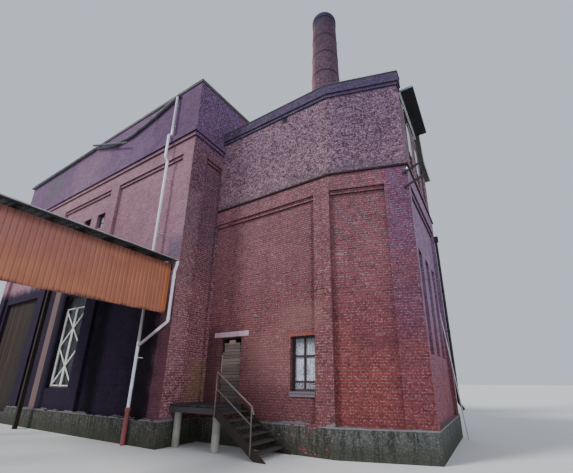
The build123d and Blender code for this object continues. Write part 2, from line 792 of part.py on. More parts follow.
def rafter_places():
    """Rafters from the wall outwards."""
    count = int((CANOPY_REACH - RAFTER_FIRST) / RAFTER_PITCH) + 1
    return [TALL_FRONT - RAFTER_FIRST - k * RAFTER_PITCH for k in range(count)]


def canopy_rafters():
    """Rafters down the slope, with tails past the sheeted face."""
    rafters = []
    for y in rafter_places():
        rafters.append(canopy_layer(CANOPY_FAR, CANOPY_FACE + RAFTER_TAIL, y - RAFTER_WIDE / 2,
                                    y + RAFTER_WIDE / 2, 0, RAFTER_DEEP))
    return Compound(rafters)


def beam_places():
    """Middle line of each canopy beam, from the sheeted face to the far side."""
    near = CANOPY_FACE - FASCIA_THICK - BEAM_WIDE / 2
    far = CANOPY_FAR + BEAM_WIDE / 2
    return [near, (near + far) / 2, far]


def canopy_beams():
    """Beams from the wall outwards, their tops cut to the slope."""
    beams = []
    for x in beam_places():
        beams.append(canopy_layer(x - BEAM_WIDE / 2, x + BEAM_WIDE / 2, CANOPY_OUTER, TALL_FRONT,
                                  -BEAM_DEEP, 0))
    return Compound(beams)


def canopy_posts():
    """Posts under the beams: one at each outer end, and two more on the far side."""
    posts = []
    for x in beam_places():
        rows = [CANOPY_OUTER + POST_WIDE]
        if x == beam_places()[-1]:
            rows += [CANOPY_OUTER + CANOPY_REACH / 2, TALL_FRONT - WALL_POST]
        for y in rows:
            post = block(x - POST_WIDE / 2, x + POST_WIDE / 2, y - POST_WIDE / 2, y + POST_WIDE / 2, 0,
                         canopy_height(x) + BEAM_WIDE)
            above = canopy_layer(x - BEAM_WIDE, x + BEAM_WIDE, y - BEAM_WIDE, y + BEAM_WIDE, -BEAM_DEEP,
                                 EAVE_HEIGHT)
            posts.append(post - above)
    return Compound(posts)


def canopy_roof():
    """Sheet roof of the canopy, notched round the downpipe."""
    sheet = canopy_layer(CANOPY_FAR - SHEET_REACH, CANOPY_FACE + SHEET_REACH, CANOPY_OUTER - CANOPY_END,
                         TALL_FRONT - SEAT, RAFTER_DEEP, RAFTER_DEEP + SHEET_THICK)
    clear = PIPE_RADIUS + 2 * TIE
    notch = block(PIPE_X - clear, PIPE_X + clear, pipe_line() - clear, TALL_FRONT, 0, TALL_WALL_TOP)
    return sheet - notch


def canopy_fascia():
    """Upright sheeting on the canopy's near face."""
    return block(CANOPY_FACE - FASCIA_THICK, CANOPY_FACE, CANOPY_OUTER, TALL_FRONT - FASCIA_GAP, FASCIA_LOW,
                 canopy_height(CANOPY_FACE))


def fascia_frame():
    """Rail and studs behind the sheeting, up to the near beam."""
    x1 = CANOPY_FACE - FASCIA_THICK
    x0 = x1 - FASCIA_STUD
    y0 = CANOPY_OUTER + 1.5 * POST_WIDE
    low, high = (FASCIA_LOW + rise for rise in FASCIA_RAIL)
    body = block(x0, x1, y0, TALL_FRONT, low, high)
    for y in rafter_places()[1::2]:
        if y > y0 + FASCIA_STUD:
            body += block(x0, x1, y - FASCIA_STUD / 2, y + FASCIA_STUD / 2, high, EAVE_HEIGHT)
    return body - canopy_layer(x0 - CLEAR, x1 + CLEAR, CANOPY_OUTER, TALL_FRONT, -BEAM_DEEP, EAVE_HEIGHT)


def pipe_line():
    """Y of the downpipe's axis, in line with the standpipe that stands clear of the plinth."""
    return TALL_FRONT - PLINTH_PROUD - PIPE_GAP - STANDPIPE_RADIUS


def pipe(points, radius, bend):
    """Round pipe along a line with bent corners."""
    path = FilletPolyline(*points, radius=bend) if len(points) > 2 else Line(*points)
    start = Plane(path @ 0, z_dir=path % 0)
    return sweep(start * Circle(radius), path=path)


def collar(x, y, z, radius):
    """Ring round an upright pipe."""
    return Pos(x, y, z) * Cylinder(radius + COLLAR_PROUD, COLLAR_HEIGHT)


def tied_collar(x, y, z, radius, face):
    """Collar with a flat tie to the wall face at a place along Y."""
    return collar(x, y, z, radius) + block(x - TIE, x + TIE, min(y, face), max(y, face), z - TIE, z + TIE)


def between(low, high, parts):
    """Heights at given parts of the way from low to high."""
    return [low + (high - low) * part for part in parts]


def front_downpipe():
    """Long zinc downpipe that steps out round the cornice, with collars tied back to the wall."""
    y = pipe_line()
    out = y - 2 * CORNICE_PROUD
    top = TALL_WALL_TOP - GUTTER_DROP - GUTTER_RADIUS - PIPE_DROP
    over, under = (CORNICE_TOP + rise for rise in CORNICE_JOG)
    points = [(PIPE_X, y, top), (PIPE_X, y, over), (PIPE_X, out, under),
              (PIPE_X, out, TALL_PANEL_HEAD + PANEL_JOG[0]), (PIPE_X, y, TALL_PANEL_HEAD - PANEL_JOG[1]),
              (PIPE_X, y, STANDPIPE_TOP)]
    body = pipe(points, PIPE_RADIUS, PIPE_BEND)
    for height in between(STANDPIPE_TOP, TALL_PANEL_HEAD, COLLAR_PARTS):
        body += tied_collar(PIPE_X, y, height, PIPE_RADIUS, TALL_FRONT + PANEL_DEPTH)
    for height in between(over, top, UPPER_COLLAR_PARTS):
        body += tied_collar(PIPE_X, y, height, PIPE_RADIUS, TALL_FRONT)
    return body


def standpipe():
    """Iron standpipe that takes the downpipe to the ground, with a socket at its head."""
    y = pipe_line()
    body = Pos(PIPE_X, y, STANDPIPE_TOP / 2) * Cylinder(STANDPIPE_RADIUS, STANDPIPE_TOP)
    proud, high = SOCKET
    return body + Pos(PIPE_X, y, STANDPIPE_TOP - high / 2) * Cylinder(STANDPIPE_RADIUS + proud, high)


def gutter(points, radius):
    """Half-round gutter, open at the top, along a line."""
    path = FilletPolyline(*points, radius=GUTTER_BEND) if len(points) > 2 else Line(*points)
    along = path % 0
    start = Plane(path @ 0, x_dir=Vector(0, 0, 1).cross(along), z_dir=along)
    ring = Circle(radius) - Circle(radius - GUTTER_WALL)
    profile = ring & (Pos(0, -radius) * Rectangle(4 * radius, 2 * radius))
    return sweep(start * profile, path=path)


def tall_gutter():
    """Eave gutter of the tall block: sagging beside the downpipe, straight farther on."""
    y = TALL_FRONT - SEAT - GUTTER_RADIUS
    top = TALL_WALL_TOP - GUTTER_DROP
    sag = [(PIPE_X - run, y, top - drop) for run, drop in GUTTER_SAG]
    far = [(PIPE_X - GUTTER_SPLIT, y, top), (TALL_LEFT, y, top - GUTTER_FALL)]
    return Compound([gutter(sag, GUTTER_RADIUS), gutter(far, GUTTER_RADIUS)])


def loose_gutter():
    """Length of gutter that has come off and hangs askew in front of the sagging one."""
    y = TALL_FRONT - 2 * SEAT - 2 * GUTTER_RADIUS - LOOSE_RADIUS
    top = TALL_WALL_TOP - GUTTER_DROP
    high = (PIPE_X - GUTTER_SPLIT, y, top + LOOSE_RISE)
    return gutter([high, (PIPE_X - LOOSE_LOW_END, y, top - LOOSE_DROP)], LOOSE_RADIUS)


def rear_gutters():
    """Gutters along the rear eaves of the lower block and the tall block."""
    low_x = LOW_LEFT + pedestal_width() + PEDESTAL_CHAMFER
    low_y = LOW_DEPTH + EAVE_REACH + SEAT + GUTTER_RADIUS
    tall_y = TALL_BACK_DEPTH + SEAT + GUTTER_RADIUS
    low = [(low_x, low_y, low_eave()), (VERGE_REACH, low_y, low_eave())]
    tall = [(TALL_LEFT, tall_y, tall_eave()), (LOW_LEFT, tall_y, tall_eave())]
    return Compound([gutter(low, GUTTER_RADIUS), gutter(tall, GUTTER_RADIUS)])


def low_eave():
    """Rim height of the lower block's rear gutter, at the middle of the roof's edge."""
    return rear_roof_height(LOW_DEPTH + EAVE_REACH) - ROOF_THICK / 2


def tall_eave():
    """Rim height of the tall block's rear gutter."""
    return TALL_WALL_TOP - GUTTER_DROP


def rear_downpipes():
    """Plain downpipes at the rear of both blocks, each with collars and a shoe."""
    pipes = []
    places = [(-SIDE_PIER / 2, LOW_DEPTH, EAVE_REACH, PLINTH_PROUD, low_eave()),
              (TALL_LEFT + CORNER_PIER / 2, TALL_BACK_DEPTH, 0, 2 * CORNICE_PROUD, tall_eave())]
    for x, face, reach, proud, eave in places:
        under = face + reach + SEAT + GUTTER_RADIUS
        y = face + proud + PIPE_GAP + PIPE_RADIUS
        top = eave - GUTTER_RADIUS - SEAT
        points = [(x, under, top), (x, under, top - SHOE_LOW), (x, y, top - 2 * SHOE_RISE),
                  (x, y, SHOE_LOW + SHOE_RISE), (x, y + SHOE_REACH, SHOE_LOW)]
        body = pipe(points, PIPE_RADIUS, PIPE_BEND)
        for height in between(SHOE_RISE, top - 2 * SHOE_RISE, SIDE_COLLAR_PARTS):
            body += tied_collar(x, y, height, PIPE_RADIUS, face)
        pipes.append(body)
    return Compound(pipes)


def leaning_pole():
    """Slim pale pole from the ground to the sunk panel of the side wall, beside its rear pier."""
    y = LOW_DEPTH - SIDE_PIER - 4 * POLE_RADIUS
    run = PANEL_DEPTH + POLE_REACH
    body = pipe([(-PANEL_DEPTH - run, y, 2 * POLE_HIGH), (POLE_REACH + run, y, -POLE_HIGH)], POLE_RADIUS, 0)
    return body & block(-PANEL_DEPTH, POLE_REACH + run, 0, LOW_DEPTH, 0, 2 * POLE_HIGH)


def canopy_gutter():
    """Half-round gutter on the rafter tails."""
    x = CANOPY_FACE + RAFTER_TAIL + SEAT + CANOPY_GUTTER_RADIUS
    z = canopy_height(CANOPY_FACE + RAFTER_TAIL) + RAFTER_DEEP - GUTTER_WALL
    return gutter([(x, TALL_FRONT - FASCIA_GAP, z), (x, CANOPY_OUTER - CANOPY_END, z)], CANOPY_GUTTER_RADIUS)


def canopy_downpipe():
    """Pipe from the canopy's gutter, down beside the corner pier and slanting into the long downpipe."""
    x = CANOPY_FACE + RAFTER_TAIL + SEAT + CANOPY_GUTTER_RADIUS
    y = TALL_FRONT - BRANCH_RADIUS - BRANCH_GAP
    top = canopy_height(CANOPY_FACE + RAFTER_TAIL) + RAFTER_DEEP - GUTTER_WALL - CANOPY_GUTTER_RADIUS
    side, back, first, second = BRANCH_JOG
    points = [(x + side, y, top), (x + side, y, top - first), (x - back, y, top - second),
              (x - back, y, BRANCH_TOP), (PIPE_X, pipe_line(), BRANCH_LOW)]
    body = pipe(points, BRANCH_RADIUS, BRANCH_BEND)
    return body - Pos(PIPE_X, pipe_line(), BRANCH_LOW) * Cylinder(PIPE_RADIUS + SEAT, 2 * WALL_THICK)


def side_downpipe():
    """Hopper and downpipe at the rear end of the side wall, with a shoe over the plinth."""
    x = PIPE_RADIUS + SIDE_PIPE_GAP
    y = LOW_DEPTH - x
    start, end, reach = SIDE_SHOE
    points = [(x, y, HOPPER_LOW), (x, y, PLINTH_TOP + start), (x + reach, y, PLINTH_TOP + end)]
    body = pipe(points, PIPE_RADIUS, SHOE_BEND)
    body += block(0, HOPPER_SIZE, y - HOPPER_SIZE / 2, y + HOPPER_SIZE / 2, HOPPER_LOW,
                  HOPPER_LOW + HOPPER_HEIGHT)
    for height in between(PLINTH_TOP, HOPPER_LOW, SIDE_COLLAR_PARTS):
        body += collar(x, y, height, PIPE_RADIUS) + block(0, x, y - TIE, y + TIE, height - TIE, height + TIE)
    return body


def stair_top():
    """X where the landing ends and the flight begins."""
    return LOW_LEFT + LANDING_LENGTH


def stair_back():
    """Y of the stair's back edge, clear of the plinth."""
    return -SPLAY_DEPTH - PLINTH_PROUD - SEAT


def stair_landing():
    """Boarded landing in the corner between the two blocks, on an edge frame."""
    y1 = stair_back()
    y0 = y1 - LANDING_WIDTH
    x0 = LOW_LEFT + PLINTH_PROUD + SEAT
    deck = block(x0, stair_top(), y0, y1, LOW_FLOOR - LANDING_THICK, LOW_FLOOR)
    rim = block(x0, stair_top(), y0, y1, LOW_FLOOR - STRINGER_DEEP, LOW_FLOOR - LANDING_THICK)
    inside = block(x0 + STRINGER_THICK, stair_top() - STRINGER_THICK, y0 + STRINGER_THICK,
                   y1 - STRINGER_THICK, LOW_FLOOR - STRINGER_DEEP, LOW_FLOOR - LANDING_THICK)
    return deck + (rim - inside)


def landing_posts():
    """Round posts under the landing, near its front edge."""
    y = stair_back() - LANDING_WIDTH + 2.5 * LANDING_POST
    high = LOW_FLOOR - STRINGER_DEEP
    posts = []
    for x in (LOW_LEFT + PLINTH_PROUD + SEAT + LANDING_POST, stair_top() - LANDING_POST):
        posts.append(Pos(x, y, high / 2) * Cylinder(LANDING_POST, high))
    return Compound(posts)


def stair_rise():
    """Height of one step."""
    return LOW_FLOOR / STEPS


def stair_stringers():
    """Two sloping boards that carry the treads."""
    slope = stair_rise() / GOING
    x0 = stair_top()
    low = LOW_FLOOR - STRINGER_DEEP
    outline = [(x0, LOW_FLOOR), (x0, low), (x0 + low / slope, 0), (x0 + LOW_FLOOR / slope, 0)]
    y1 = stair_back()
    y0 = y1 - LANDING_WIDTH
    near = front_prism(outline, y0, y0 + STRINGER_THICK)
    return Compound([near, front_prism(outline, y1 - STRINGER_THICK, y1)])


def stair_treads():
    """Boards between the stringers."""
    y0 = stair_back() - LANDING_WIDTH + STRINGER_THICK
    y1 = stair_back() - STRINGER_THICK
    treads = []
    for k in range(1, STEPS):
        x = stair_top() + k * GOING
        z = LOW_FLOOR - k * stair_rise()
        treads.append(block(x - GOING, x, y0, y1, z - TREAD_THICK, z))
    return Compound(treads)


def stair_rail():
    """Two rails and their posts on the open side of the flight."""
    slope = stair_rise() / GOING
    y = stair_back() - LANDING_WIDTH - SEAT - RAIL_POST_RADIUS
    x0 = stair_top() + RAIL_FOOT
    x1 = stair_top() + (STEPS - 1) * GOING - RAIL_SHORT

    def over(x, height):
        return LOW_FLOOR - (x - stair_top()) * slope + height

    body = pipe([(x0, y, over(x0, RAIL_HEIGHT)), (x1, y, over(x1, RAIL_HEIGHT)),
                 (x1 + RAIL_END[0], y, over(x1, RAIL_HEIGHT) - RAIL_END[1])], RAIL_RADIUS, 2 * RAIL_RADIUS)
    middle = RAIL_HEIGHT - RAIL_GAP
    turn = math.degrees(math.atan(slope))
    length = (x1 - x0) / math.cos(math.radians(turn))
    place = Location(((x0 + x1) / 2, y, over((x0 + x1) / 2, middle)), (0, 90 + turn, 0))
    body += place * Cylinder(MIDDLE_RAIL_RADIUS, length)
    for x in (x0, x1):
        low = over(x, 2 * RAIL_RADIUS - STRINGER_DEEP)
        high = over(x, RAIL_HEIGHT)
        body += Pos(x, y, (low + high) / 2) * Cylinder(RAIL_POST_RADIUS, high - low)
    return body


NODES = {
    "tall_front_wall": tall_front_wall(),
    "tall_side_wall": tall_side_wall(),
    "tall_back_wall": tall_back_wall(),
    "tall_far_wall": tall_far_wall(),
    "tall_roof": tall_roof(),
    "floors": Compound(tall_floors() + low_floors()),
    "window_frames": Compound([wall.frame(*place) for wall, *place in glazed_places()]),
    "window_glass": Compound([wall.pane(*place) for wall, *place in glazed_places()]),
    "gate_boards": gate_boards(),
    "yard_wall": yard_wall(),
    "splay_wall": splay_wall(),
    "side_wall": side_wall(),
    "rear_wall": rear_wall(),
    "yard_wall_upper": upper_wall(YARD),
    "splay_wall_upper": upper_wall(SPLAY),
    "side_wall_upper": side_wall_upper(),
    "rear_wall_upper": rear_wall_upper(),
    "low_roof": low_roof(),
    "roof_boards": roof_boards(),
    "parapet_cap": parapet_cap(),
    "window_sill": sill_box(),
    "door_lintel": lintel_box(),
    "door_frame": door_frame(),
    "door_boards": door_boards(),
    "hatch_frames": hatch_frames(),
    "hatch_boards": hatch_boards(),
    "hood": hood(),
    "corner_brackets": corner_brackets(),
    "chimney_pedestal": chimney_pedestal(),
    "chimney_shaft": chimney_shaft(),
    "chimney_bands": chimney_bands(),
    "canopy_rafters": canopy_rafters(),
    "canopy_beams": canopy_beams(),
    "canopy_posts": canopy_posts(),
    "canopy_roof": canopy_roof(),
    "canopy_fascia": canopy_fascia(),
    "fascia_frame": fascia_frame(),
    "front_downpipe": front_downpipe(),
    "standpipe": standpipe(),
    "canopy_gutter": canopy_gutter(),
    "canopy_downpipe": canopy_downpipe(),
    "tall_gutter": tall_gutter(),
    "loose_gutter": loose_gutter(),
    "rear_gutters": rear_gutters(),
    "side_downpipe": side_downpipe(),
    "rear_downpipes": rear_downpipes(),
    "leaning_pole": leaning_pole(),
    "stair_landing": stair_landing(),
    "landing_posts": landing_posts(),
    "stair_stringers": stair_stringers(),
    "stair_treads": stair_treads(),
    "stair_rail": stair_rail(),
}

whole = Compound(list(NODES.values())).bounding_box()
middle = Pos(-(whole.min.X + whole.max.X) / 2, -(whole.min.Y + whole.max.Y) / 2, -whole.min.Z)
for name, shape in NODES.items():
    export_step(middle * shape, f"parts/{name}.step")
print("origin shift", middle.position)
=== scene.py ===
"""Old brick factory building, dressed round its frame of walls, roofs, pipes and timbers.

Lengths are metres. The parts of the frame stay and get their finishes here. Boards, glazing bars, profiled
sheets, straps and fixings are added as pieces of their own. A colour of three numbers is as it looks on a
screen, 0 to 255, and one of four is a shader's own.
"""

import math
import bmesh
import bpy
from mathutils import Matrix, Vector


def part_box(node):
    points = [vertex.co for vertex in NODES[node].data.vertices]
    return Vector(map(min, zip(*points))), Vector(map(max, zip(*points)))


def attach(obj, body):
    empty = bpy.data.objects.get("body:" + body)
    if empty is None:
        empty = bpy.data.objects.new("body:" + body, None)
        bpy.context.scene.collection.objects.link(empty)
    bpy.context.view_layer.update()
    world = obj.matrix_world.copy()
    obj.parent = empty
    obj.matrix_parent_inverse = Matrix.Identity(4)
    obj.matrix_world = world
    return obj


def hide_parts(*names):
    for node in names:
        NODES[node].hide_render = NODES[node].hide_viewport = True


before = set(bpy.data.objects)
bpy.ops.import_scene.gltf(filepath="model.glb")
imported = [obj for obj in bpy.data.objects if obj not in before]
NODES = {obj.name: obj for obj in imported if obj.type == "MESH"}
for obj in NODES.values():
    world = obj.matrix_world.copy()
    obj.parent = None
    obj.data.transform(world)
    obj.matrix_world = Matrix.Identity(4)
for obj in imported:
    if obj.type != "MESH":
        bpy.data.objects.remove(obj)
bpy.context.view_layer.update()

bl_info = {
    "name": "Brick factory building",
    "version": (1, 0, 0),
    "blender": (4, 5, 0),
    "location": "3D View > Sidebar > Factory",
    "description": "Dresses an old brick factory building round its frame",
    "category": "Add Mesh",
}

QUARTER = {axis: Matrix.Rotation(math.radians(90), 4, axis) for axis in "XYZ"}
GRAIN = {"X": (1.2, 14.0, 14.0), "Y": (14.0, 1.2, 14.0), "Z": (14.0, 14.0, 1.2)}
SOFT_EDGE = ("BEVEL", {"width": 0.003, "segments": 1, "limit_method": "ANGLE"})

# Front right corner of the lower block, found from the frame, and the plan of the walls from that corner
LEDGE_PROUD = 0.045
LOW_DEPTH = 4.67
CORNER = Vector((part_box("side_wall")[1].x - LEDGE_PROUD,
                 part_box("rear_wall")[1].y - LEDGE_PROUD - LOW_DEPTH, 0))
LOW_LEFT = -7.38
SPLAY_DEPTH = 0.745
TALL_LEFT = -22.95
TALL_FRONT = -2.28
TALL_BACK = 7.3
PLINTH_TOP = 0.75
EAVE_TOP = 13.855

# Depths in a wall: of a sunk panel, of the upper side wall's panel and of a frame behind the wall's face
PANEL = 0.12
UPPER_PANEL = 0.04
FRAME_SET = 0.14
FRAME_WIDE = 0.06

# Openings: width and height, where they begin along their wall, and their sills
YARD_WINDOW = (0.855, 1.58)
YARD_START = 3.513
REAR_STARTS = (0.85, 2.45)
YARD_SILL = 1.59
SLIT_WINDOW = (0.64, 3.295)
SIDE_STARTS = (0.96, 2.17, 3.38)
SLIT_SILL = 2.635
UPPER_OPENING = (0.64, 1.56)
UPPER_SILL = 9.0
SMALL_WINDOW = (0.66, 0.76)
SMALL_SILL = 8.68
SMALL_PITCH = 1.22
SMALL_MARGIN = 0.39
TALL_WINDOW = (1.88, 4.0)
TALL_SILL = 1.56

# Doorway: left, right and sill, then left, right, foot and top of its high boards
# Gateway: start in its bay, run, sill and height
DOOR = (0.625, 1.515, 1.21)
DOOR_HIGH = (0.71, 1.44, 2.82, 3.13)
GATE = (0.3, 3.77, 0.45, 5.45)

# Sunk bays of the tall block's long walls, and the two small high windows in each
BAY = 4.37
BAY_STARTS = [0.59 + k * (BAY + 0.64) for k in range(3)]
SMALL_STARTS = [[start + BAY - SMALL_MARGIN - SMALL_WINDOW[0] - off for off in (SMALL_PITCH, 0)]
                for start in BAY_STARTS]

# Canopy, pipes and chimney
EAVE_HEIGHT = 5.71
CANOPY_SLOPE = math.radians(8)
FASCIA_LOW = 3.98
PIPE_X = -8.78
CANOPY_PIPE = (-7.485, -2.338)
COLLAR_HEIGHTS = (3.78, 5.2)
ARM_END = (0.0, -0.03, 8.17)
CHIMNEY = CORNER + Vector((-5.8, 6.62, 0))
CHIMNEY_TOP = 27.76
CHIMNEY_HEAD = 0.42
TOP_RADIUS = 0.845
TAPER = 0.0195
HOOP_DROPS = (1.86, 3.59, 5.41)
HOOP_HALF = 0.055

# Camera: place from the corner, level directions, pitch and roll in degrees, and shift of the picture
CAMERA_PLACE = (1.44, -8.95, 1.92)
CAMERA_LEVEL = Vector((-0.5097, 0.8604, 0))
CAMERA_RIGHT = Vector((0.8604, 0.5097, 0))
CAMERA_PITCH = 18.258
CAMERA_ROLL = 0.138
CAMERA_SHIFT = (-0.0255, 0.0667)


def at(x, y, z):
    """Point in metres from the front right corner of the lower block."""
    return CORNER + Vector((x, y, z))


def wall_place(x, y, turn):
    """Place of a wall: local X along its face, local Y inwards, local Z up."""
    return Matrix.Translation(at(x, y, 0)) @ Matrix.Rotation(math.radians(turn), 4, "Z")


YARD = wall_place(LOW_LEFT, -SPLAY_DEPTH, 0)
SIDE = wall_place(0, 0, 90)
REAR = wall_place(0, LOW_DEPTH, 180)
TALL_YARD = wall_place(TALL_LEFT, TALL_FRONT, 0)
TALL_REAR = wall_place(LOW_LEFT, TALL_BACK, 180)


def in_wall(wall, along, inwards, up):
    """Place in a wall's own frame."""
    return wall @ Matrix.Translation((along, inwards, up))


def linear(colour):
    """Shader colour from a colour as it looks on a screen; anything else is left as it is."""
    if not isinstance(colour, tuple) or len(colour) != 3:
        return colour
    parts = [c / 255 for c in colour]
    return tuple(((c + 0.055) / 1.055) ** 2.4 if c > 0.04 else c / 12.92 for c in parts) + (1.0,)


def shades(red, green, blue, spread=0.12):
    """Tones of brick round one colour: darker and paler ones take turns."""
    steps = [spread * k for k in (-1.0, 0.45, -0.5, 1.0, -0.1, 0.6)]
    return [(red * (1 + step), green * (1 + 1.2 * step), blue * (1 + 1.1 * step)) for step in steps]


class Tree:
    """Adds nodes to a node tree and links them."""

    def __init__(self, tree):
        self.tree = tree

    def node(self, kind, values=None, **settings):
        """New node; values are numbers or sockets for its inputs, by name or place."""
        made = self.tree.nodes.new(kind)
        for key, value in settings.items():
            setattr(made, key, value)
        for key, value in (values or {}).items():
            if isinstance(value, bpy.types.NodeSocket):
                self.tree.links.new(value, made.inputs[key])
            else:
                made.inputs[key].default_value = value
        return made

    def out(self, kind, values=None, **settings):
        """First output of a new node."""
        return self.node(kind, values, **settings).outputs[0]

    def math(self, how, a, b=0.0):
        """Result of an operation on two values."""
        return self.out("ShaderNodeMath", {0: a, 1: b}, operation=how)

    def plus(self, a, b):
        """Sum of two values."""
        return self.math("ADD", a, b)

    def minus(self, a, b):
        """Difference of two values."""
        return self.math("SUBTRACT", a, b)

    def times(self, a, b):
        """Product of two values."""
        return self.math("MULTIPLY", a, b)

    def over(self, a, b):
        """First value divided by the second."""
        return self.math("DIVIDE", a, b)

    def swing(self, value, size):
        """Value between 0 and 1 as one that swings to both sides of 0."""
        return self.times(self.minus(value, 0.5), size)

    def vector(self, how, a, b=(0, 0, 0)):
        """Result of an operation on two vectors."""
        return self.out("ShaderNodeVectorMath", {0: a, 1: b}, operation=how)

    def split(self, vector):
        """X, Y and Z of a vector."""
        return self.node("ShaderNodeSeparateXYZ", {0: vector}).outputs

    def join(self, x=0.0, y=0.0, z=0.0):
        """Vector from three values."""
        return self.out("ShaderNodeCombineXYZ", {0: x, 1: y, 2: z})

    def mix(self, amount, a, b, how="MIX"):
        """Blend of two colours."""
        values = {0: amount, 6: linear(a), 7: linear(b)}
        return self.node("ShaderNodeMix", values, data_type="RGBA", blend_type=how).outputs[2]

    def lay(self, colour, mask, strength, over, how="MIX"):
        """Colour with another laid over it where a mask is high."""
        return self.mix(self.times(mask, strength), colour, over, how)

    def shaded(self, colour, shade):
        """Colour made darker or paler by a value."""
        return self.mix(1.0, colour, self.join(shade, shade, shade), "MULTIPLY")

    def fade(self, value, low, high, start=0.0, end=1.0):
        """Smooth step of a value between two limits."""
        values = {0: value, 1: low, 2: high, 3: start, 4: end}
        return self.out("ShaderNodeMapRange", values, interpolation_type="SMOOTHSTEP")

    def shift(self, colour, *steps):
        """Colour that gives way to others; a step is a value, two limits, the shares there and a colour."""
        for value, low, high, start, end, over in steps:
            colour = self.mix(self.fade(value, low, high, start, end), colour, over)
        return colour

    def noise(self, place, scale, detail=3.0, rough=0.55):
        """Cloudy value between 0 and 1."""
        return self.out("ShaderNodeTexNoise", {"Vector": place, "Scale": scale, "Detail": detail,
                                               "Roughness": rough})

    def runs(self, place, stretch):
        """Cloudy value drawn out along one axis."""
        return self.noise(self.vector("MULTIPLY", place, stretch), 1.0, 4.0, 0.6)

    def ramp(self, value, colours):
        """Colour picked from an even row of colours."""
        made = self.node("ShaderNodeValToRGB", {0: value})
        stops = made.color_ramp.elements
        last = len(colours) - 1
        for i in range(1, last):
            stops.new(i / last)
        for stop, colour in zip(stops, colours):
            stop.color = linear(colour)
        return made.outputs[0]

    def use(self, name, values):
        """Outputs of a shared shader group placed in this tree."""
        return self.node("ShaderNodeGroup", values, node_tree=shared(name)).outputs

    def give(self, results, kind="Float"):
        """Puts results out of this tree by name."""
        for label in results:
            self.tree.interface.new_socket(name=label, in_out="OUTPUT", socket_type="NodeSocket" + kind)
        self.node("NodeGroupOutput", results)


def new_tree(name, kind, inputs):
    """Helper and inputs of a new tree; each input is named with its default, or with its kind alone."""
    tree = bpy.data.node_groups.new(name, kind)
    sockets = {float: "Float", int: "Int", tuple: "Vector"}
    for label, value in inputs.items():
        socket = "NodeSocket" + sockets.get(type(value), str(value))
        made = tree.interface.new_socket(name=label, in_out="INPUT", socket_type=socket)
        if type(value) in sockets:
            made.default_value = value
    helper = Tree(tree)
    return helper, helper.node("NodeGroupInput").outputs


def shader_group(name, inputs):
    """New shader group that is given places, and further inputs."""
    return new_tree(name, "ShaderNodeTree", {"Place": "Vector", **inputs})


def growth_tree(name, inputs):
    """New geometry tree that is given a material, and further inputs."""
    return new_tree(name, "GeometryNodeTree", {**inputs, "Material": "Material"})


def shared(name):
    """Node group of that name, built the first time it is asked for."""
    if name not in bpy.data.node_groups:
        GROUPS[name](name)
    return bpy.data.node_groups[name]


def face_places(name):
    """Distance along a face and height up it, from the place and the way the face looks."""
    t, given = shader_group(name, {"Facing": "Vector"})
    place = t.split(given["Place"])
    facing = t.split(given["Facing"])
    along = t.minus(t.times(facing[0], place[1]), t.times(facing[1], place[0]))
    level = t.math("GREATER_THAN", t.math("ABSOLUTE", facing[2]), 0.7)
    t.give({label: t.out("ShaderNodeMix", {0: level, 2: upright, 3: flat})
            for label, upright, flat in (("Along", along, place[0]), ("Up", place[2], place[1]))})


def round_places(name):
    """Distance round a shaft, on a circle of one metre, and height up it."""
    t, given = shader_group(name, {"Axis": "Vector"})
    place = t.split(t.vector("SUBTRACT", given["Place"], given["Axis"]))
    t.give({"Along": t.math("ARCTAN2", place[1], place[0]), "Up": place[2]})


def brick_courses(name):
    """Brickwork in which courses of long and short brick faces take turns."""
    t, given = new_tree(name, "ShaderNodeTree", {"Along": 0.0, "Up": 0.0, "Course": 0.077, "Brick": 0.262,
                                                 "Joint": 0.012, "Header": 0.5})
    height = t.over(given["Up"], given["Course"])
    row = t.math("FLOOR", height)
    header = t.math("FLOORED_MODULO", row, 2.0)
    shifted = t.math("COMPARE", t.math("FLOORED_MODULO", row, 4.0), 2.0)
    saved = t.times(header, t.minus(1.0, given["Header"]))
    length = t.times(given["Brick"], t.minus(1.0, saved))
    part = t.plus(t.times(shifted, 0.5), t.times(header, 0.25))
    along = t.over(t.plus(given["Along"], t.times(part, given["Brick"])), length)
    column = t.math("FLOOR", along)
    wander = t.swing(t.noise(t.join(given["Along"], given["Up"], 0.0), 30.0, 2.0), 0.006)
    half = t.times(given["Joint"], 0.5)
    edges = []
    for value, size in ((t.math("FRACT", along), length), (t.math("FRACT", height), given["Course"])):
        gap = t.plus(t.times(t.math("MINIMUM", value, t.minus(1.0, value)), size), wander)
        edges.append(t.fade(gap, t.minus(half, 0.002), t.plus(half, 0.003), 1.0, 0.0))
    joint = t.math("MAXIMUM", t.times(edges[0], 0.6), edges[1])
    cells = [t.join(t.plus(column, step), row, 0.0) for step in (0.0, 57.3)]
    tones = [t.out("ShaderNodeTexWhiteNoise", {0: cell}, noise_dimensions="2D") for cell in cells]
    relief = t.times(t.minus(1.0, joint), t.plus(0.75, t.times(tones[1], 0.25)))
    t.give({"Tone": tones[0], "Second Tone": tones[1], "Joint": joint, "Relief": relief})


def weather(name):
    """Masks of age: wide blotches, smaller clouds, run-off streaks, pit-sized grit and fine specks."""
    t, given = shader_group(name, {})
    place = given["Place"]
    t.give({"Blotch": t.fade(t.noise(place, 0.32, 4.0, 0.6), 0.35, 0.65),
            "Cloud": t.fade(t.noise(place, 1.6, 4.0, 0.6), 0.3, 0.7),
            "Streak": t.fade(t.runs(place, (5.0, 5.0, 0.22)), 0.42, 0.72),
            "Grit": t.noise(place, 21.0, 2.0, 0.7),
            "Speck": t.noise(place, 45.0, 3.0, 0.7)})


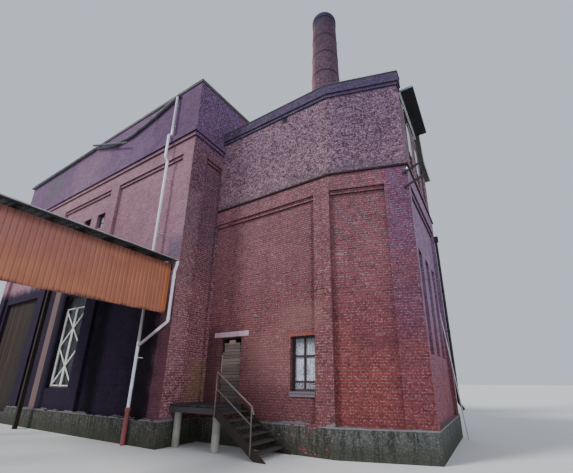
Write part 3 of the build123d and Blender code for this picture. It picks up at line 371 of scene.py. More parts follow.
def soft_patch(name):
    """Mask of a soft-edged patch round a point, broken up by noise."""
    t, given = shader_group(name, {"Centre": "Vector", "Half": (1, 1, 1), "Soft": 0.3})
    off = t.vector("ABSOLUTE", t.vector("SUBTRACT", given["Place"], given["Centre"]))
    beyond = t.split(t.vector("SUBTRACT", off, given["Half"]))
    far = t.math("MAXIMUM", t.math("MAXIMUM", beyond[0], beyond[1]), beyond[2])
    far = t.plus(far, t.times(t.swing(t.noise(given["Place"], 2.2, 5.0, 0.65), 1.6), given["Soft"]))
    t.give({"Mask": t.fade(far, t.times(given["Soft"], -0.5), given["Soft"], 1.0, 0.0)})


def wood_grain(name):
    """Grain along one axis, with cracks and a tone for each length of wood."""
    t, given = shader_group(name, {"Stretch": (1, 1, 1)})
    place = t.vector("MULTIPLY", given["Place"], given["Stretch"])
    t.give({"Grain": t.noise(place, 9.0, 6.0, 0.65),
            "Crack": t.fade(t.noise(place, 27.9, 3.0, 0.7), 0.62, 0.72),
            "Fade": t.noise(given["Place"], 1.3, 3.0, 0.6)})


def end_growth(t, geometry, given):
    """Ends a growth tree: real mesh with its material."""
    real = t.out("GeometryNodeRealizeInstances", {0: geometry})
    dressed = t.out("GeometryNodeSetMaterial", {"Geometry": real, "Material": given["Material"]})
    t.give({"Geometry": dressed}, "Geometry")


def glazing_bars(name):
    """Grid of upright and level glazing bars, centred on the origin in the XZ plane."""
    t, given = growth_tree(name, {"Width": 1.0, "Height": 1.0, "Columns": 2, "Rows": 2, "Bar": 0.026})
    both = t.node("GeometryNodeJoinGeometry")
    for count, length, upright in (("Columns", "Width", True), ("Rows", "Height", False)):
        step = t.over(given[length], given[count])
        first = t.minus(step, t.times(given[length], 0.5))
        start, offset = [t.join(v, 0.0, 0.0) if upright else t.join(0.0, 0.0, v) for v in (first, step)]
        line = t.out("GeometryNodeMeshLine",
                     {"Count": t.minus(given[count], 1.0), "Start Location": start, "Offset": offset})
        if upright:
            size = t.join(given["Bar"], 0.03, given["Height"])
        else:
            size = t.join(given["Width"], 0.0255, given["Bar"])
        bar = t.out("GeometryNodeMeshCube", {"Size": size})
        bars = t.out("GeometryNodeInstanceOnPoints", {"Points": line, "Instance": bar})
        t.tree.links.new(bars, both.inputs[0])
    end_growth(t, both.outputs[0], given)


def boarding(name):
    """Row of upright boards along X with ragged ends, small tilts and gaps, some of them missing."""
    t, given = growth_tree(name, {"Run": 1.0, "Length": 2.0, "Boards": 6, "Gap": 0.006, "Thickness": 0.022,
                                  "Ragged": 0.02, "Tilt": 0.006, "Missing": 0.0, "Seed": 1})
    pitch = t.over(given["Run"], given["Boards"])
    start = t.join(t.times(t.minus(pitch, given["Run"]), 0.5), 0.0, 0.0)
    line = t.out("GeometryNodeMeshLine", {"Count": given["Boards"], "Start Location": start,
                                          "Offset": t.join(pitch, 0.0, 0.0)})
    gone = t.node("FunctionNodeRandomValue", {"Probability": given["Missing"], "Seed": given["Seed"]},
                  data_type="BOOLEAN").outputs[3]
    line = t.out("GeometryNodeDeleteGeometry", {"Geometry": line, "Selection": gone})
    size = t.join(t.minus(pitch, given["Gap"]), given["Thickness"], given["Length"])
    board = t.out("GeometryNodeMeshCube", {"Size": size, "Vertices Z": 7})

    def random_vector(low, high, step):
        values = {0: low, 1: high, "Seed": t.plus(given["Seed"], step)}
        return t.out("FunctionNodeRandomValue", values, data_type="FLOAT_VECTOR")

    turn = random_vector(t.join(0.0, t.times(given["Tilt"], -1.0), 0.0), t.join(0.0, given["Tilt"], 0.0), 1.0)
    scale = random_vector(t.join(0.95, 0.9, t.minus(1.0, given["Ragged"])), (1.0, 1.0, 1.0), 2.0)
    rows = t.out("GeometryNodeInstanceOnPoints",
                 {"Points": line, "Instance": board, "Rotation": turn, "Scale": scale})
    slip = t.times(t.times(given["Ragged"], given["Length"]), 0.4)
    slide = random_vector(t.join(0.0, -0.003, t.times(slip, -1.0)), t.join(0.0, 0.003, slip), 3.0)
    rows = t.out("GeometryNodeTranslateInstances", {"Instances": rows, "Translation": slide})
    own = t.node("FunctionNodeRandomValue", {"Seed": t.plus(given["Seed"], 4.0)}).outputs[1]
    rows = t.out("GeometryNodeStoreNamedAttribute", {"Geometry": rows, "Name": "board", "Value": own},
                 domain="INSTANCE")
    end_growth(t, rows, given)


def profiled_sheet(name):
    """Sheet with upright ribs, centred on the origin in the XY plane, a little dented, its low edge wavy."""
    t, given = growth_tree(name, {"Width": 4.0, "Height": 2.0, "Pitch": 0.2, "Depth": 0.02, "Foot": 0.3,
                                  "Crest": 0.7, "Dents": 0.004, "Wave": 0.02})
    across = t.plus(t.times(t.math("ROUND", t.over(given["Width"], given["Pitch"])), 10.0), 1.0)
    grid = t.out("GeometryNodeMeshGrid", {"Size X": given["Width"], "Size Y": given["Height"],
                                          "Vertices X": across, "Vertices Y": 9})
    position = t.out("GeometryNodeInputPosition")
    place = t.split(position)
    half_width = t.times(given["Width"], 0.5)
    half_pitch = t.times(given["Pitch"], 0.5)
    rib = t.over(t.math("PINGPONG", t.plus(place[0], half_width), half_pitch), half_pitch)
    rib = t.out("ShaderNodeMapRange", {0: rib, 1: given["Foot"], 2: given["Crest"]})
    lift = t.plus(t.swing(rib, given["Depth"]), t.swing(t.noise(position, 0.9, 2.0), given["Dents"]))
    low = t.fade(place[1], t.times(given["Height"], -0.5), 0.0, 1.0, 0.0)
    wave = t.swing(t.noise(t.join(t.times(place[0], 1.4), 3.7, 0.0), 1.0, 3.0), given["Wave"])
    drop = t.times(wave, t.math("POWER", low, 6.0))
    moved = t.out("GeometryNodeSetPosition", {"Geometry": grid, "Offset": t.join(0.0, drop, lift)})
    end_growth(t, moved, given)


def gutter_straps(name):
    """Half-round straps under a gutter, spaced along its line."""
    t, given = growth_tree(name, {"Line": "Geometry", "Spacing": 0.8, "Radius": 0.08})
    curve = t.out("GeometryNodeMeshToCurve", {0: given["Line"]})
    points = t.out("GeometryNodeResampleCurve", {"Curve": curve, "Length": given["Spacing"]}, mode="LENGTH")
    arc = t.out("GeometryNodeCurveArc", {"Resolution": 13, "Radius": given["Radius"], "Start Angle": math.pi,
                                         "Sweep Angle": math.pi})
    profile = t.out("GeometryNodeCurvePrimitiveQuadrilateral", {"Width": 0.005, "Height": 0.03})
    strap = t.out("GeometryNodeCurveToMesh", {"Curve": arc, "Profile Curve": profile, "Fill Caps": True})
    turn = t.out("FunctionNodeAlignRotationToVector", {"Vector": t.out("GeometryNodeInputTangent")}, axis="Z")
    turn = t.out("FunctionNodeAlignRotationToVector", {"Rotation": turn, "Vector": (0, 0, 1)}, axis="Y",
                 pivot_axis="Z")
    rows = t.out("GeometryNodeInstanceOnPoints", {"Points": points, "Instance": strap, "Rotation": turn})
    end_growth(t, rows, given)


def fixing_heads(name):
    """Low round heads of nails, screws and bolts on given points."""
    t, given = growth_tree(name, {"Points": "Geometry", "Radius": 0.01, "Facing": (0, -1, 0)})
    head = t.out("GeometryNodeMeshUVSphere", {"Segments": 8, "Rings": 4, "Radius": given["Radius"]})
    turn = t.out("FunctionNodeAlignRotationToVector", {"Vector": given["Facing"]}, axis="Z")
    points = t.out("GeometryNodeMeshToPoints", {"Mesh": given["Points"]})
    rows = t.out("GeometryNodeInstanceOnPoints", {"Points": points, "Instance": head, "Rotation": turn,
                                                  "Scale": (1.0, 1.0, 0.55)})
    end_growth(t, rows, given)


GROUPS = {make.__name__.replace("_", " ").capitalize(): make for make in (
    face_places, round_places, brick_courses, weather, soft_patch, wood_grain, glazing_bars, boarding,
    profiled_sheet, gutter_straps, fixing_heads)}


class Material(Tree):
    """Material with one principled shader, whose plain sockets are set by name."""

    def __init__(self, name, **sockets):
        self.material = bpy.data.materials.new(name)
        self.material.use_nodes = True
        self.material.node_tree.nodes.clear()
        super().__init__(self.material.node_tree)
        self.shader = self.node("ShaderNodeBsdfPrincipled",
                                {key.replace("_", " "): value for key, value in sockets.items()})
        self.node("ShaderNodeOutputMaterial", {0: self.shader.outputs[0]})
        coordinates = self.node("ShaderNodeTexCoord").outputs
        self.place = coordinates["Object"]
        self.facing = coordinates["Normal"]

    def height(self):
        """Height over the ground."""
        return self.split(self.place)[2]

    def age(self):
        """Masks of age."""
        return self.use("Weather", {"Place": self.place})

    def bands(self, colour, age, bands):
        """Colour with level bands laid over it; each is low, high, colour, strength and softness."""
        height = self.height()
        for low, high, tone, strength, soft in bands:
            wavy = self.plus(height, self.swing(age["Cloud"], soft * 2))
            mask = self.times(self.fade(wavy, low - soft, low + soft),
                              self.fade(wavy, high - soft, high + soft, 1, 0))
            colour = self.lay(colour, mask, strength, tone)
        return colour

    def patches(self, colour, patches, how="MIX"):
        """Colour with patches laid over it; each is centre, half size, colour, strength and softness."""
        for centre, half, tone, strength, soft in patches:
            values = {"Place": self.place, "Centre": centre, "Half": half, "Soft": soft}
            colour = self.lay(colour, self.use("Soft patch", values)["Mask"], strength, tone, how)
        return colour

    def finish(self, colour, roughness, height=None, depth=0.004, strength=0.6):
        """Joins colour, roughness and relief to the shader; gives the material."""
        links = {"Base Color": colour, "Roughness": roughness}
        if height is not None:
            links["Normal"] = self.out("ShaderNodeBump",
                                       {"Height": height, "Strength": strength, "Distance": depth})
        for key, socket in links.items():
            self.tree.links.new(socket, self.shader.inputs[key])
        return self.material


def plinth_render(t, colour, age, plinth):
    """Colour with the plinth's render laid over it, up to a ragged top."""
    plain, stained, flecked, ragged = plinth
    height = t.height()
    up = t.split(t.facing)[2]
    grime = t.shift(t.mix(age["Cloud"], plain, stained),
                    (age["Speck"], 0.45, 0.75, 0.0, 0.7, flecked),
                    (t.runs(t.place, (9.0, 9.0, 0.9)), 0.48, 0.6, 0.0, 0.75, (44, 46, 42)),
                    (age["Grit"], 0.36, 0.48, 0.5, 0.0, (42, 42, 40)),
                    (age["Grit"], 0.54, 0.64, 0.0, 0.35, (140, 138, 132)),
                    (height, 0.15, 0.55, 0.6, 0.0, (58, 60, 48)),
                    (height, PLINTH_TOP - 0.045, PLINTH_TOP - 0.03, 0.0, 0.5, (150, 146, 150)),
                    (up, 0.3, 0.8, 0.0, 0.6, (84, 80, 80)))
    wavy = t.plus(height, t.swing(age["Cloud"], ragged))
    worn = t.fade(wavy, PLINTH_TOP - 0.004, PLINTH_TOP + 0.008, 1.0, 0.0)
    fallen = t.fade(t.noise(t.place, 3.1, 4.0, 0.7), 0.2 + ragged, 0.26 + ragged)
    return t.lay(colour, worn, fallen, grime)


def brick_material(name, tones, joint=None, pale=0.03, dirt=0.15, plinth=None, patches=(), bands=(),
                   tone_and_sky_light=None, about=None, headers=False, pits=0.2, tints_light_and_shade=()):
    """Brickwork with its joints, age, plinth render, patches, level bands and dark undersides, which are
    painted shade with some soot.

    The wash is a low and a high factor and the heights between which they change; it is painted sky light,
    bluer up the walls, with some of the brick's own tone. Tinges are patches that multiply the colour: some
    tint the brick, others are painted shadow, painted shade or painted light. Bricks lie round an axis where
    one is given.
    """
    t = Material(name, Specular_IOR_Level=0.15)
    bricks = bpy.context.scene.factory_brickwork
    if about is None:
        where = t.use("Face places", {"Place": t.place, "Facing": t.facing})
    else:
        where = t.use("Round places", {"Place": t.place, "Axis": about})
    laid = t.use("Brick courses", {"Along": where["Along"], "Up": where["Up"], "Course": bricks.course,
                                   "Brick": bricks.brick / 2 if headers else bricks.brick,
                                   "Joint": bricks.joint, "Header": 1.0 if headers else 0.5})
    age = t.age()
    bloom = t.math("GREATER_THAN", laid["Second Tone"], 1.0 - pale)
    worn = t.fade(age["Cloud"], 0.2, 0.9, 0.05, 0.3)
    colour = t.lay(t.ramp(laid["Tone"], tones), bloom, worn, (188, 168, 158))
    bed = t.shift(joint or tuple(bricks.mortar), (age["Grit"], 0.36, 0.46, 0.75, 0.0, (58, 40, 44)),
                  (age["Grit"], 0.53, 0.62, 0.0, 0.55, (206, 186, 184)))
    colour = t.mix(laid["Joint"], colour, bed)
    shade = t.plus(0.8, t.times(age["Cloud"], 0.14))
    shade = t.plus(shade, t.times(age["Blotch"], 0.12))
    colour = t.shaded(colour, t.plus(shade, t.swing(age["Speck"], 0.3)))
    # Colour changing with height: painted sky light, with some of the brick's own tone.
    if tone_and_sky_light is not None:
        low_tone_light, high_tone_light, low, high = tone_and_sky_light
        colour = t.mix(1.0, colour, t.mix(t.fade(t.height(), low, high), low_tone_light, high_tone_light), "MULTIPLY")
    colour = t.lay(colour, age["Streak"], dirt, (64, 46, 50))
    colour = t.shift(colour, (age["Grit"], 0.38, 0.48, pits, 0.0, (44, 32, 40)),
                     (age["Grit"], 0.53, 0.62, 0.0, pits * 0.7, (186, 156, 168)))
    # Multiplying patches: tints of the brick, painted shadow, painted shade and painted light.
    colour = t.patches(t.patches(colour, tints_light_and_shade, "MULTIPLY"), patches)
    colour = t.bands(colour, age, bands)
    if plinth is not None:
        colour = plinth_render(t, colour, age, plinth)
    # Downward faces of corbels and courses darkened: painted shade, partly soot.
    colour = t.shift(colour, (t.split(t.facing)[2], -0.9, -0.5, 0.8, 0.0, (44, 30, 36)))
    relief = t.plus(laid["Relief"], t.times(age["Speck"], 0.35))
    return t.finish(colour, t.fade(age["Speck"], 0.3, 0.7, 0.8, 0.96), relief, 0.006)


def wood_material(name, axis, colours, boards=0.0, patches=()):
    """Weathered wood with grain along one axis, cracks, patches and, if boards is given, a tone for each."""
    t = Material(name, Specular_IOR_Level=0.2)
    grain = t.use("Wood grain", {"Place": t.place, "Stretch": GRAIN[axis]})
    shade = t.plus(0.75, t.times(grain["Fade"], 0.5))
    if boards:
        own = t.node("ShaderNodeAttribute", attribute_name="board").outputs["Fac"]
        shade = t.times(shade, t.plus(1.0 - boards / 2, t.times(own, boards)))
    colour = t.shaded(t.ramp(grain["Grain"], colours), shade)
    colour = t.patches(t.lay(colour, grain["Crack"], 0.6, (34, 28, 24)), patches)
    return t.finish(colour, t.fade(grain["Grain"], 0.2, 0.8, 0.7, 0.95),
                    t.minus(grain["Grain"], grain["Crack"]), 0.003, 0.5)


def metal_material(name, base, stain, rust, metallic, roughness, rust_level=0.6, spangle=0.0, bands=(),
                   worn_size=6.0, under=0.0):
    """Old metal: base tone, dull stains, level bands, rust where the noise is high and dark undersides, which
    are painted shade.
    """
    t = Material(name, Metallic=metallic)
    age = t.age()
    colour = t.mix(age["Cloud"], base, stain)
    if spangle:
        cells = t.node("ShaderNodeTexVoronoi", {"Vector": t.place, "Scale": 60.0}).outputs["Color"]
        colour = t.mix(spangle, colour, cells, "SOFT_LIGHT")
    worn = t.fade(t.noise(t.place, worn_size, 6.0, 0.7), rust_level, rust_level + 0.12)
    colour = t.mix(worn, t.bands(colour, age, bands), rust)
    colour = t.lay(colour, age["Streak"], 0.35, (70, 62, 58))
    # Downward faces darkened: painted shade.
    if under:
        colour = t.shift(colour, (t.split(t.facing)[2], -0.5, -0.1, under, 0.0, (22, 20, 26)))
    rough = t.plus(t.plus(roughness, t.times(worn, 0.3)), t.times(age["Speck"], 0.15))
    return t.finish(colour, rough, t.plus(worn, age["Speck"]), 0.0015, 0.4)


def stone_material(name, plain, worn, streaks, smooth, bands=()):
    """Stone or concrete with run-off streaks and level bands."""
    t = Material(name)
    age = t.age()
    colour = t.lay(t.mix(age["Cloud"], plain, worn), age["Streak"], 0.4, streaks)
    return t.finish(t.bands(colour, age, bands), t.fade(age["Speck"], 0.3, 0.7, smooth, 0.95), age["Speck"],
                    0.004, 0.5)


def felt_material():
    """Roof felt with a seam at each metre."""
    t = Material("roof felt")
    age = t.age()
    laps = t.math("FRACT", t.split(t.place)[0])
    seam = t.fade(t.math("ABSOLUTE", t.minus(laps, 0.5)), 0.0, 0.02, 1.0, 0.0)
    colour = t.lay(t.mix(age["Cloud"], (62, 62, 64), (84, 84, 82)), age["Blotch"], 0.5, (96, 100, 84))
    return t.finish(t.lay(colour, seam, 0.6, (34, 34, 36)), t.fade(age["Speck"], 0.3, 0.7, 0.8, 0.95),
                    t.plus(age["Speck"], seam), 0.004, 0.5)


def glass_material():
    """Dark dirty glass, milky in the yard window, pale in one high window and black behind the lattice."""
    t = Material("dirty glass", Transmission_Weight=0.1, IOR=1.5)
    age = t.age()
    milky = t.mix(t.fade(t.runs(t.place, (26.0, 26.0, 3.0)), 0.35, 0.65), (168, 174, 186), (226, 232, 248))
    milky = t.shift(milky, (t.noise(t.place, 22.0, 3.0, 0.75), 0.54, 0.6, 0.0, 0.9, (58, 58, 64)),
                    (t.height(), 2.5, 3.15, 0.0, 0.6, (70, 72, 76)))
    start, next_start = SMALL_STARTS[1]
    panes = ((YARD, YARD_START + YARD_WINDOW[0] / 2, 2.38, (0.43, 0.2, 0.8), milky),
             (TALL_YARD, next_start + 0.33, 9.06, (0.33, 0.2, 0.38), (186, 198, 218)),
             (TALL_YARD, start + TALL_WINDOW[0] / 2, 3.56, (0.95, 0.2, 2.1), (16, 14, 20)))
    patches = [(in_wall(wall, along, 0.3, up).translation, half, tone, 1.0, 0.01)
               for wall, along, up, half, tone in panes]
    colour = t.patches(t.mix(age["Cloud"], (40, 36, 50), (70, 66, 82)), patches)
    return t.finish(colour, t.fade(age["Cloud"], 0.0, 1.0, 0.12, 0.5))


def orange_material(paint):
    """Faded paint of the canopy's face, with painted shade at its eave, darker at its foot, brighter at its
    end by the wall.
    """
    t = Material("orange sheet")
    age = t.age()
    height = t.height()
    depth = t.split(t.place)[1]
    wall = CORNER.y + TALL_FRONT
    colour = t.lay(t.mix(age["Cloud"], paint, (166, 102, 78)), age["Blotch"], 0.4, (188, 120, 84))
    colour = t.lay(colour, age["Streak"], 0.3, (124, 78, 66))
    colour = t.shift(colour, (depth, wall - 0.3, wall - 0.2, 0.0, 0.7, (188, 110, 62)))
    colour = t.lay(colour, t.fade(height, 4.3, 5.3), t.fade(depth, -6.6, -3.6, 0.7, 0.0), (148, 94, 92))
    wavy = t.plus(height, t.times(age["Cloud"], 0.1))
    # The first step darkens the top under the eave: painted shade. The second darkens the foot.
    colour = t.shift(colour, (height, EAVE_HEIGHT - 0.3, EAVE_HEIGHT, 0.0, 0.6, (84, 48, 44)),
                     (wavy, FASCIA_LOW + 0.03, FASCIA_LOW + 0.14, 0.85, 0.0, (74, 38, 36)))
    return t.finish(colour, t.fade(age["Cloud"], 0.0, 1.0, 0.42, 0.62), age["Speck"], 0.001, 0.3)


def add_piece(name, mesh, slot, *replaced):
    """Object at the origin that rides on the building."""
    mesh.name = name
    made = bpy.data.objects.new(name, mesh)
    bpy.context.scene.collection.objects.link(made)
    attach(made, "root")
    if replaced:
        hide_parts(*replaced)
    return made


def grow(name, modifiers=(), base=None, **values):
    """Plain mesh that a shared geometry tree makes from its inputs, with further modifiers applied."""
    tree = shared(name)
    carrier = bpy.data.objects.new("carrier", base or bpy.data.meshes.new("carrier"))
    bpy.context.scene.collection.objects.link(carrier)
    growth = carrier.modifiers.new("Growth", "NODES")
    growth.node_group = tree
    for item in tree.interface.items_tree:
        if item.item_type == "SOCKET" and item.in_out == "INPUT" and item.name.lower() in values:
            growth[item.identifier] = values[item.name.lower()]
    for kind, settings in modifiers:
        extra = carrier.modifiers.new(kind, kind)
        for key, value in settings.items():
            setattr(extra, key, value)
    graph = bpy.context.evaluated_depsgraph_get()
    mesh = bpy.data.meshes.new_from_object(carrier.evaluated_get(graph), preserve_all_data_layers=True,
                                           depsgraph=graph)
    bpy.data.objects.remove(carrier)
    if not mesh.polygons:
        raise RuntimeError(name + " made no faces")
    return mesh


def gather(material, parts):
    """One mesh from a mesh, or from several (mesh, place) pairs."""
    if isinstance(parts, bpy.types.Mesh):
        parts = [(parts, Matrix())]
    joined = bmesh.new()
    for mesh, place in parts:
        moved = mesh.copy()
        moved.transform(place)
        joined.from_mesh(moved)
        bpy.data.meshes.remove(moved)
    result = bmesh_to_mesh(joined, material)
    for face in result.polygons:
        face.material_index = 0
    return result


def bmesh_to_mesh(made, material):
    """Mesh with one material from a finished bmesh, which is freed."""
    mesh = bpy.data.meshes.new("made")
    made.to_mesh(mesh)
    made.free()
    mesh.materials.clear()
    mesh.materials.append(material)
    return mesh


def point_mesh(points, joined=False):
    """Mesh of loose points, or of one open line through them."""
    mesh = bpy.data.meshes.new("points")
    edges = [(i, i + 1) for i in range(len(points) - 1)] if joined else []
    mesh.from_pydata([tuple(p) for p in points], edges, [])
    return mesh


def fixings(points, radius, facing, material):
    """Mesh of fixing heads on points, all looking one way."""
    return gather(material, grow("Fixing heads", base=point_mesh(points), radius=radius, facing=facing,
                                 material=material))


def boards(run, length, count, seed, material, thickness=None, **more):
    """Mesh of upright boards side by side."""
    thickness = thickness or bpy.context.scene.factory_joinery.board_thick
    return grow("Boarding", (SOFT_EDGE,), run=run, length=length, boards=count, seed=seed, material=material,
                thickness=thickness, **more)


def ribbed_sheet(material, **values):
    """Mesh of a ribbed sheet with its thickness."""
    thick = ("SOLIDIFY", {"thickness": 0.0015, "offset": 0.0})
    return grow("Profiled sheet", (thick,), material=material, **values)


def straps(line, spacing, radius, material):
    """Mesh of gutter straps along a line of points."""
    return grow("Gutter straps", base=point_mesh(line, True), spacing=spacing, radius=radius,
                material=material)


def members(pieces, material):
    """Mesh of squared timbers or bars with softened edges; each piece is its size and its place."""
    made = bmesh.new()
    for size, place in pieces:
        bmesh.ops.create_cube(made, size=1.0, matrix=place @ Matrix.Diagonal((*size, 1.0)))
    bmesh.ops.bevel(made, geom=made.edges[:], offset=0.004, segments=1, affect="EDGES")
    return bmesh_to_mesh(made, material)


def turned(profile, material, steps=16):
    """Closed mesh turned about the Z axis from a line of (radius, height) points."""
    made = bmesh.new()
    rings = []
    for radius, height in profile:
        angles = [2 * math.pi * k / steps for k in range(steps)]
        rings.append([made.verts.new((radius * math.cos(a), radius * math.sin(a), height)) for a in angles])
    for low, high in zip(rings, rings[1:]):
        for k in range(steps):
            made.faces.new((low[k], low[(k + 1) % steps], high[(k + 1) % steps], high[k]))
    made.faces.new(rings[0])
    made.faces.new(rings[-1])
    bmesh.ops.recalc_face_normals(made, faces=made.faces[:])
    return bmesh_to_mesh(made, material)


def cut_notch(mesh, x, half, y):
    """Removes the faces of the roof sheet round the downpipe."""
    made = bmesh.new()
    made.from_mesh(mesh)
    gone = []
    for face in made.faces:
        middle = face.calc_center_median()
        near = abs(middle.x - x) < half or any(abs(v.co.x - x) < half for v in face.verts)
        if near and abs(middle.x - x) < half + 0.5 and middle.y > y:
            gone.append(face)
    bmesh.ops.delete(made, geom=gone, context="FACES")
    made.to_mesh(mesh)
    made.free()


def dress(material, nodes):
    """Gives nodes of the frame, named in one string, their finish."""
    for node in nodes.split():
        for slot in NODES[node].material_slots:
            slot.material = material


def length_setting(name, description, default):
    """Setting that is a length in metres."""
    return bpy.props.FloatProperty(name=name, description=description, default=default, unit="LENGTH")


def colour_setting(name, description, default):
    """Setting that is a colour."""
    return bpy.props.FloatVectorProperty(name=name, description=description, default=linear(default),
                                         subtype="COLOR", size=4, min=0, max=1)


class BrickworkSettings(bpy.types.PropertyGroup):
    """Sizes of the brickwork."""

    course: length_setting("Course", "Height of a brick and its joint", 0.077)
    brick: length_setting("Brick", "Length of a brick and its joint", 0.262)
    joint: length_setting("Joint", "Width of a mortar joint", 0.012)
    mortar: colour_setting("Mortar", "Colour of the joints", (132, 102, 96))


class JoinerySettings(bpy.types.PropertyGroup):
    """Sizes of the boards and glazing bars."""

    bar: length_setting("Bar", "Width of a glazing bar", 0.026)
    board_gap: length_setting("Board gap", "Gap between two boards", 0.007)
    board_thick: length_setting("Board thickness", "Thickness of a board", 0.024)


class SheetSettings(bpy.types.PropertyGroup):
    """Sizes and colour of the canopy's sheets."""

    face_pitch: length_setting("Face pitch", "Distance between ribs on the face", 0.126)
    roof_pitch: length_setting("Roof pitch", "Distance between ribs on the roof", 0.177)
    face_colour: colour_setting("Face colour", "Paint of the canopy's face", (178, 110, 82))


class StageSettings(bpy.types.PropertyGroup):
    """Camera and light."""

    lens: bpy.props.FloatProperty(name="Lens", description="Focal length in millimetres", default=19.96)
    key: bpy.props.FloatProperty(name="Key light", description="Strength of the key light", default=2.6)
    fill: bpy.props.FloatProperty(name="Fill light", description="Strength of the sky light", default=0.85)


class FACTORY_OT_stage(bpy.types.Operator):
    """Makes the camera, the floor and the light"""

    bl_idname = "factory.stage"
    bl_label = "Stage"

    def execute(self, context):
        scene = context.scene
        settings = scene.factory_stage
        data = bpy.data.cameras.new("camera")
        data.sensor_width = 36
        data.lens = settings.lens
        data.shift_x, data.shift_y = CAMERA_SHIFT
        data.clip_end = 500
        camera = bpy.data.objects.new("camera", data)
        scene.collection.objects.link(camera)
        pitch = math.radians(CAMERA_PITCH)
        roll = math.radians(CAMERA_ROLL)
        ahead = CAMERA_LEVEL * math.cos(pitch) + Vector((0, 0, math.sin(pitch)))
        up = CAMERA_RIGHT.cross(ahead)
        across = CAMERA_RIGHT * math.cos(roll) + up * math.sin(roll)
        upright = up * math.cos(roll) - CAMERA_RIGHT * math.sin(roll)
        turn = Matrix((across, upright, -ahead)).transposed()
        camera.matrix_world = Matrix.Translation(at(*CAMERA_PLACE)) @ turn.to_4x4()
        scene.camera = camera

        floor_mesh = bpy.data.meshes.new("floor")
        corners = [(150 * x, 150 * y, 0) for x, y in ((-1, -1), (1, -1), (1, 1), (-1, 1))]
        floor_mesh.from_pydata(corners, [], [(0, 1, 2, 3)])
        floor = bpy.data.objects.new("floor", floor_mesh)
        scene.collection.objects.link(floor)
        t = Material("studio floor")
        cloud = t.noise(t.place, 0.4, 3.0)
        floor_mesh.materials.append(t.finish(t.mix(cloud, (206, 206, 204), (216, 216, 214)),
                                             t.fade(cloud, 0.0, 1.0, 0.85, 0.95)))

        for name, strength, angle, height, heading in (("key", settings.key, 14, 42, -38),
                                                       ("side", 0.55, 30, 25, 75)):
            light = bpy.data.lights.new(name, "SUN")
            light.energy = strength
            light.angle = math.radians(angle)
            lamp = bpy.data.objects.new(name, light)
            scene.collection.objects.link(lamp)
            lamp.rotation_euler = (math.radians(90 - height), 0, math.radians(heading))
        world = bpy.data.worlds.new("studio")
        world.use_nodes = True
        background = world.node_tree.nodes["Background"]
        background.inputs[0].default_value = linear((220, 228, 242))
        background.inputs[1].default_value = settings.fill
        scene.world = world
        return {"FINISHED"}


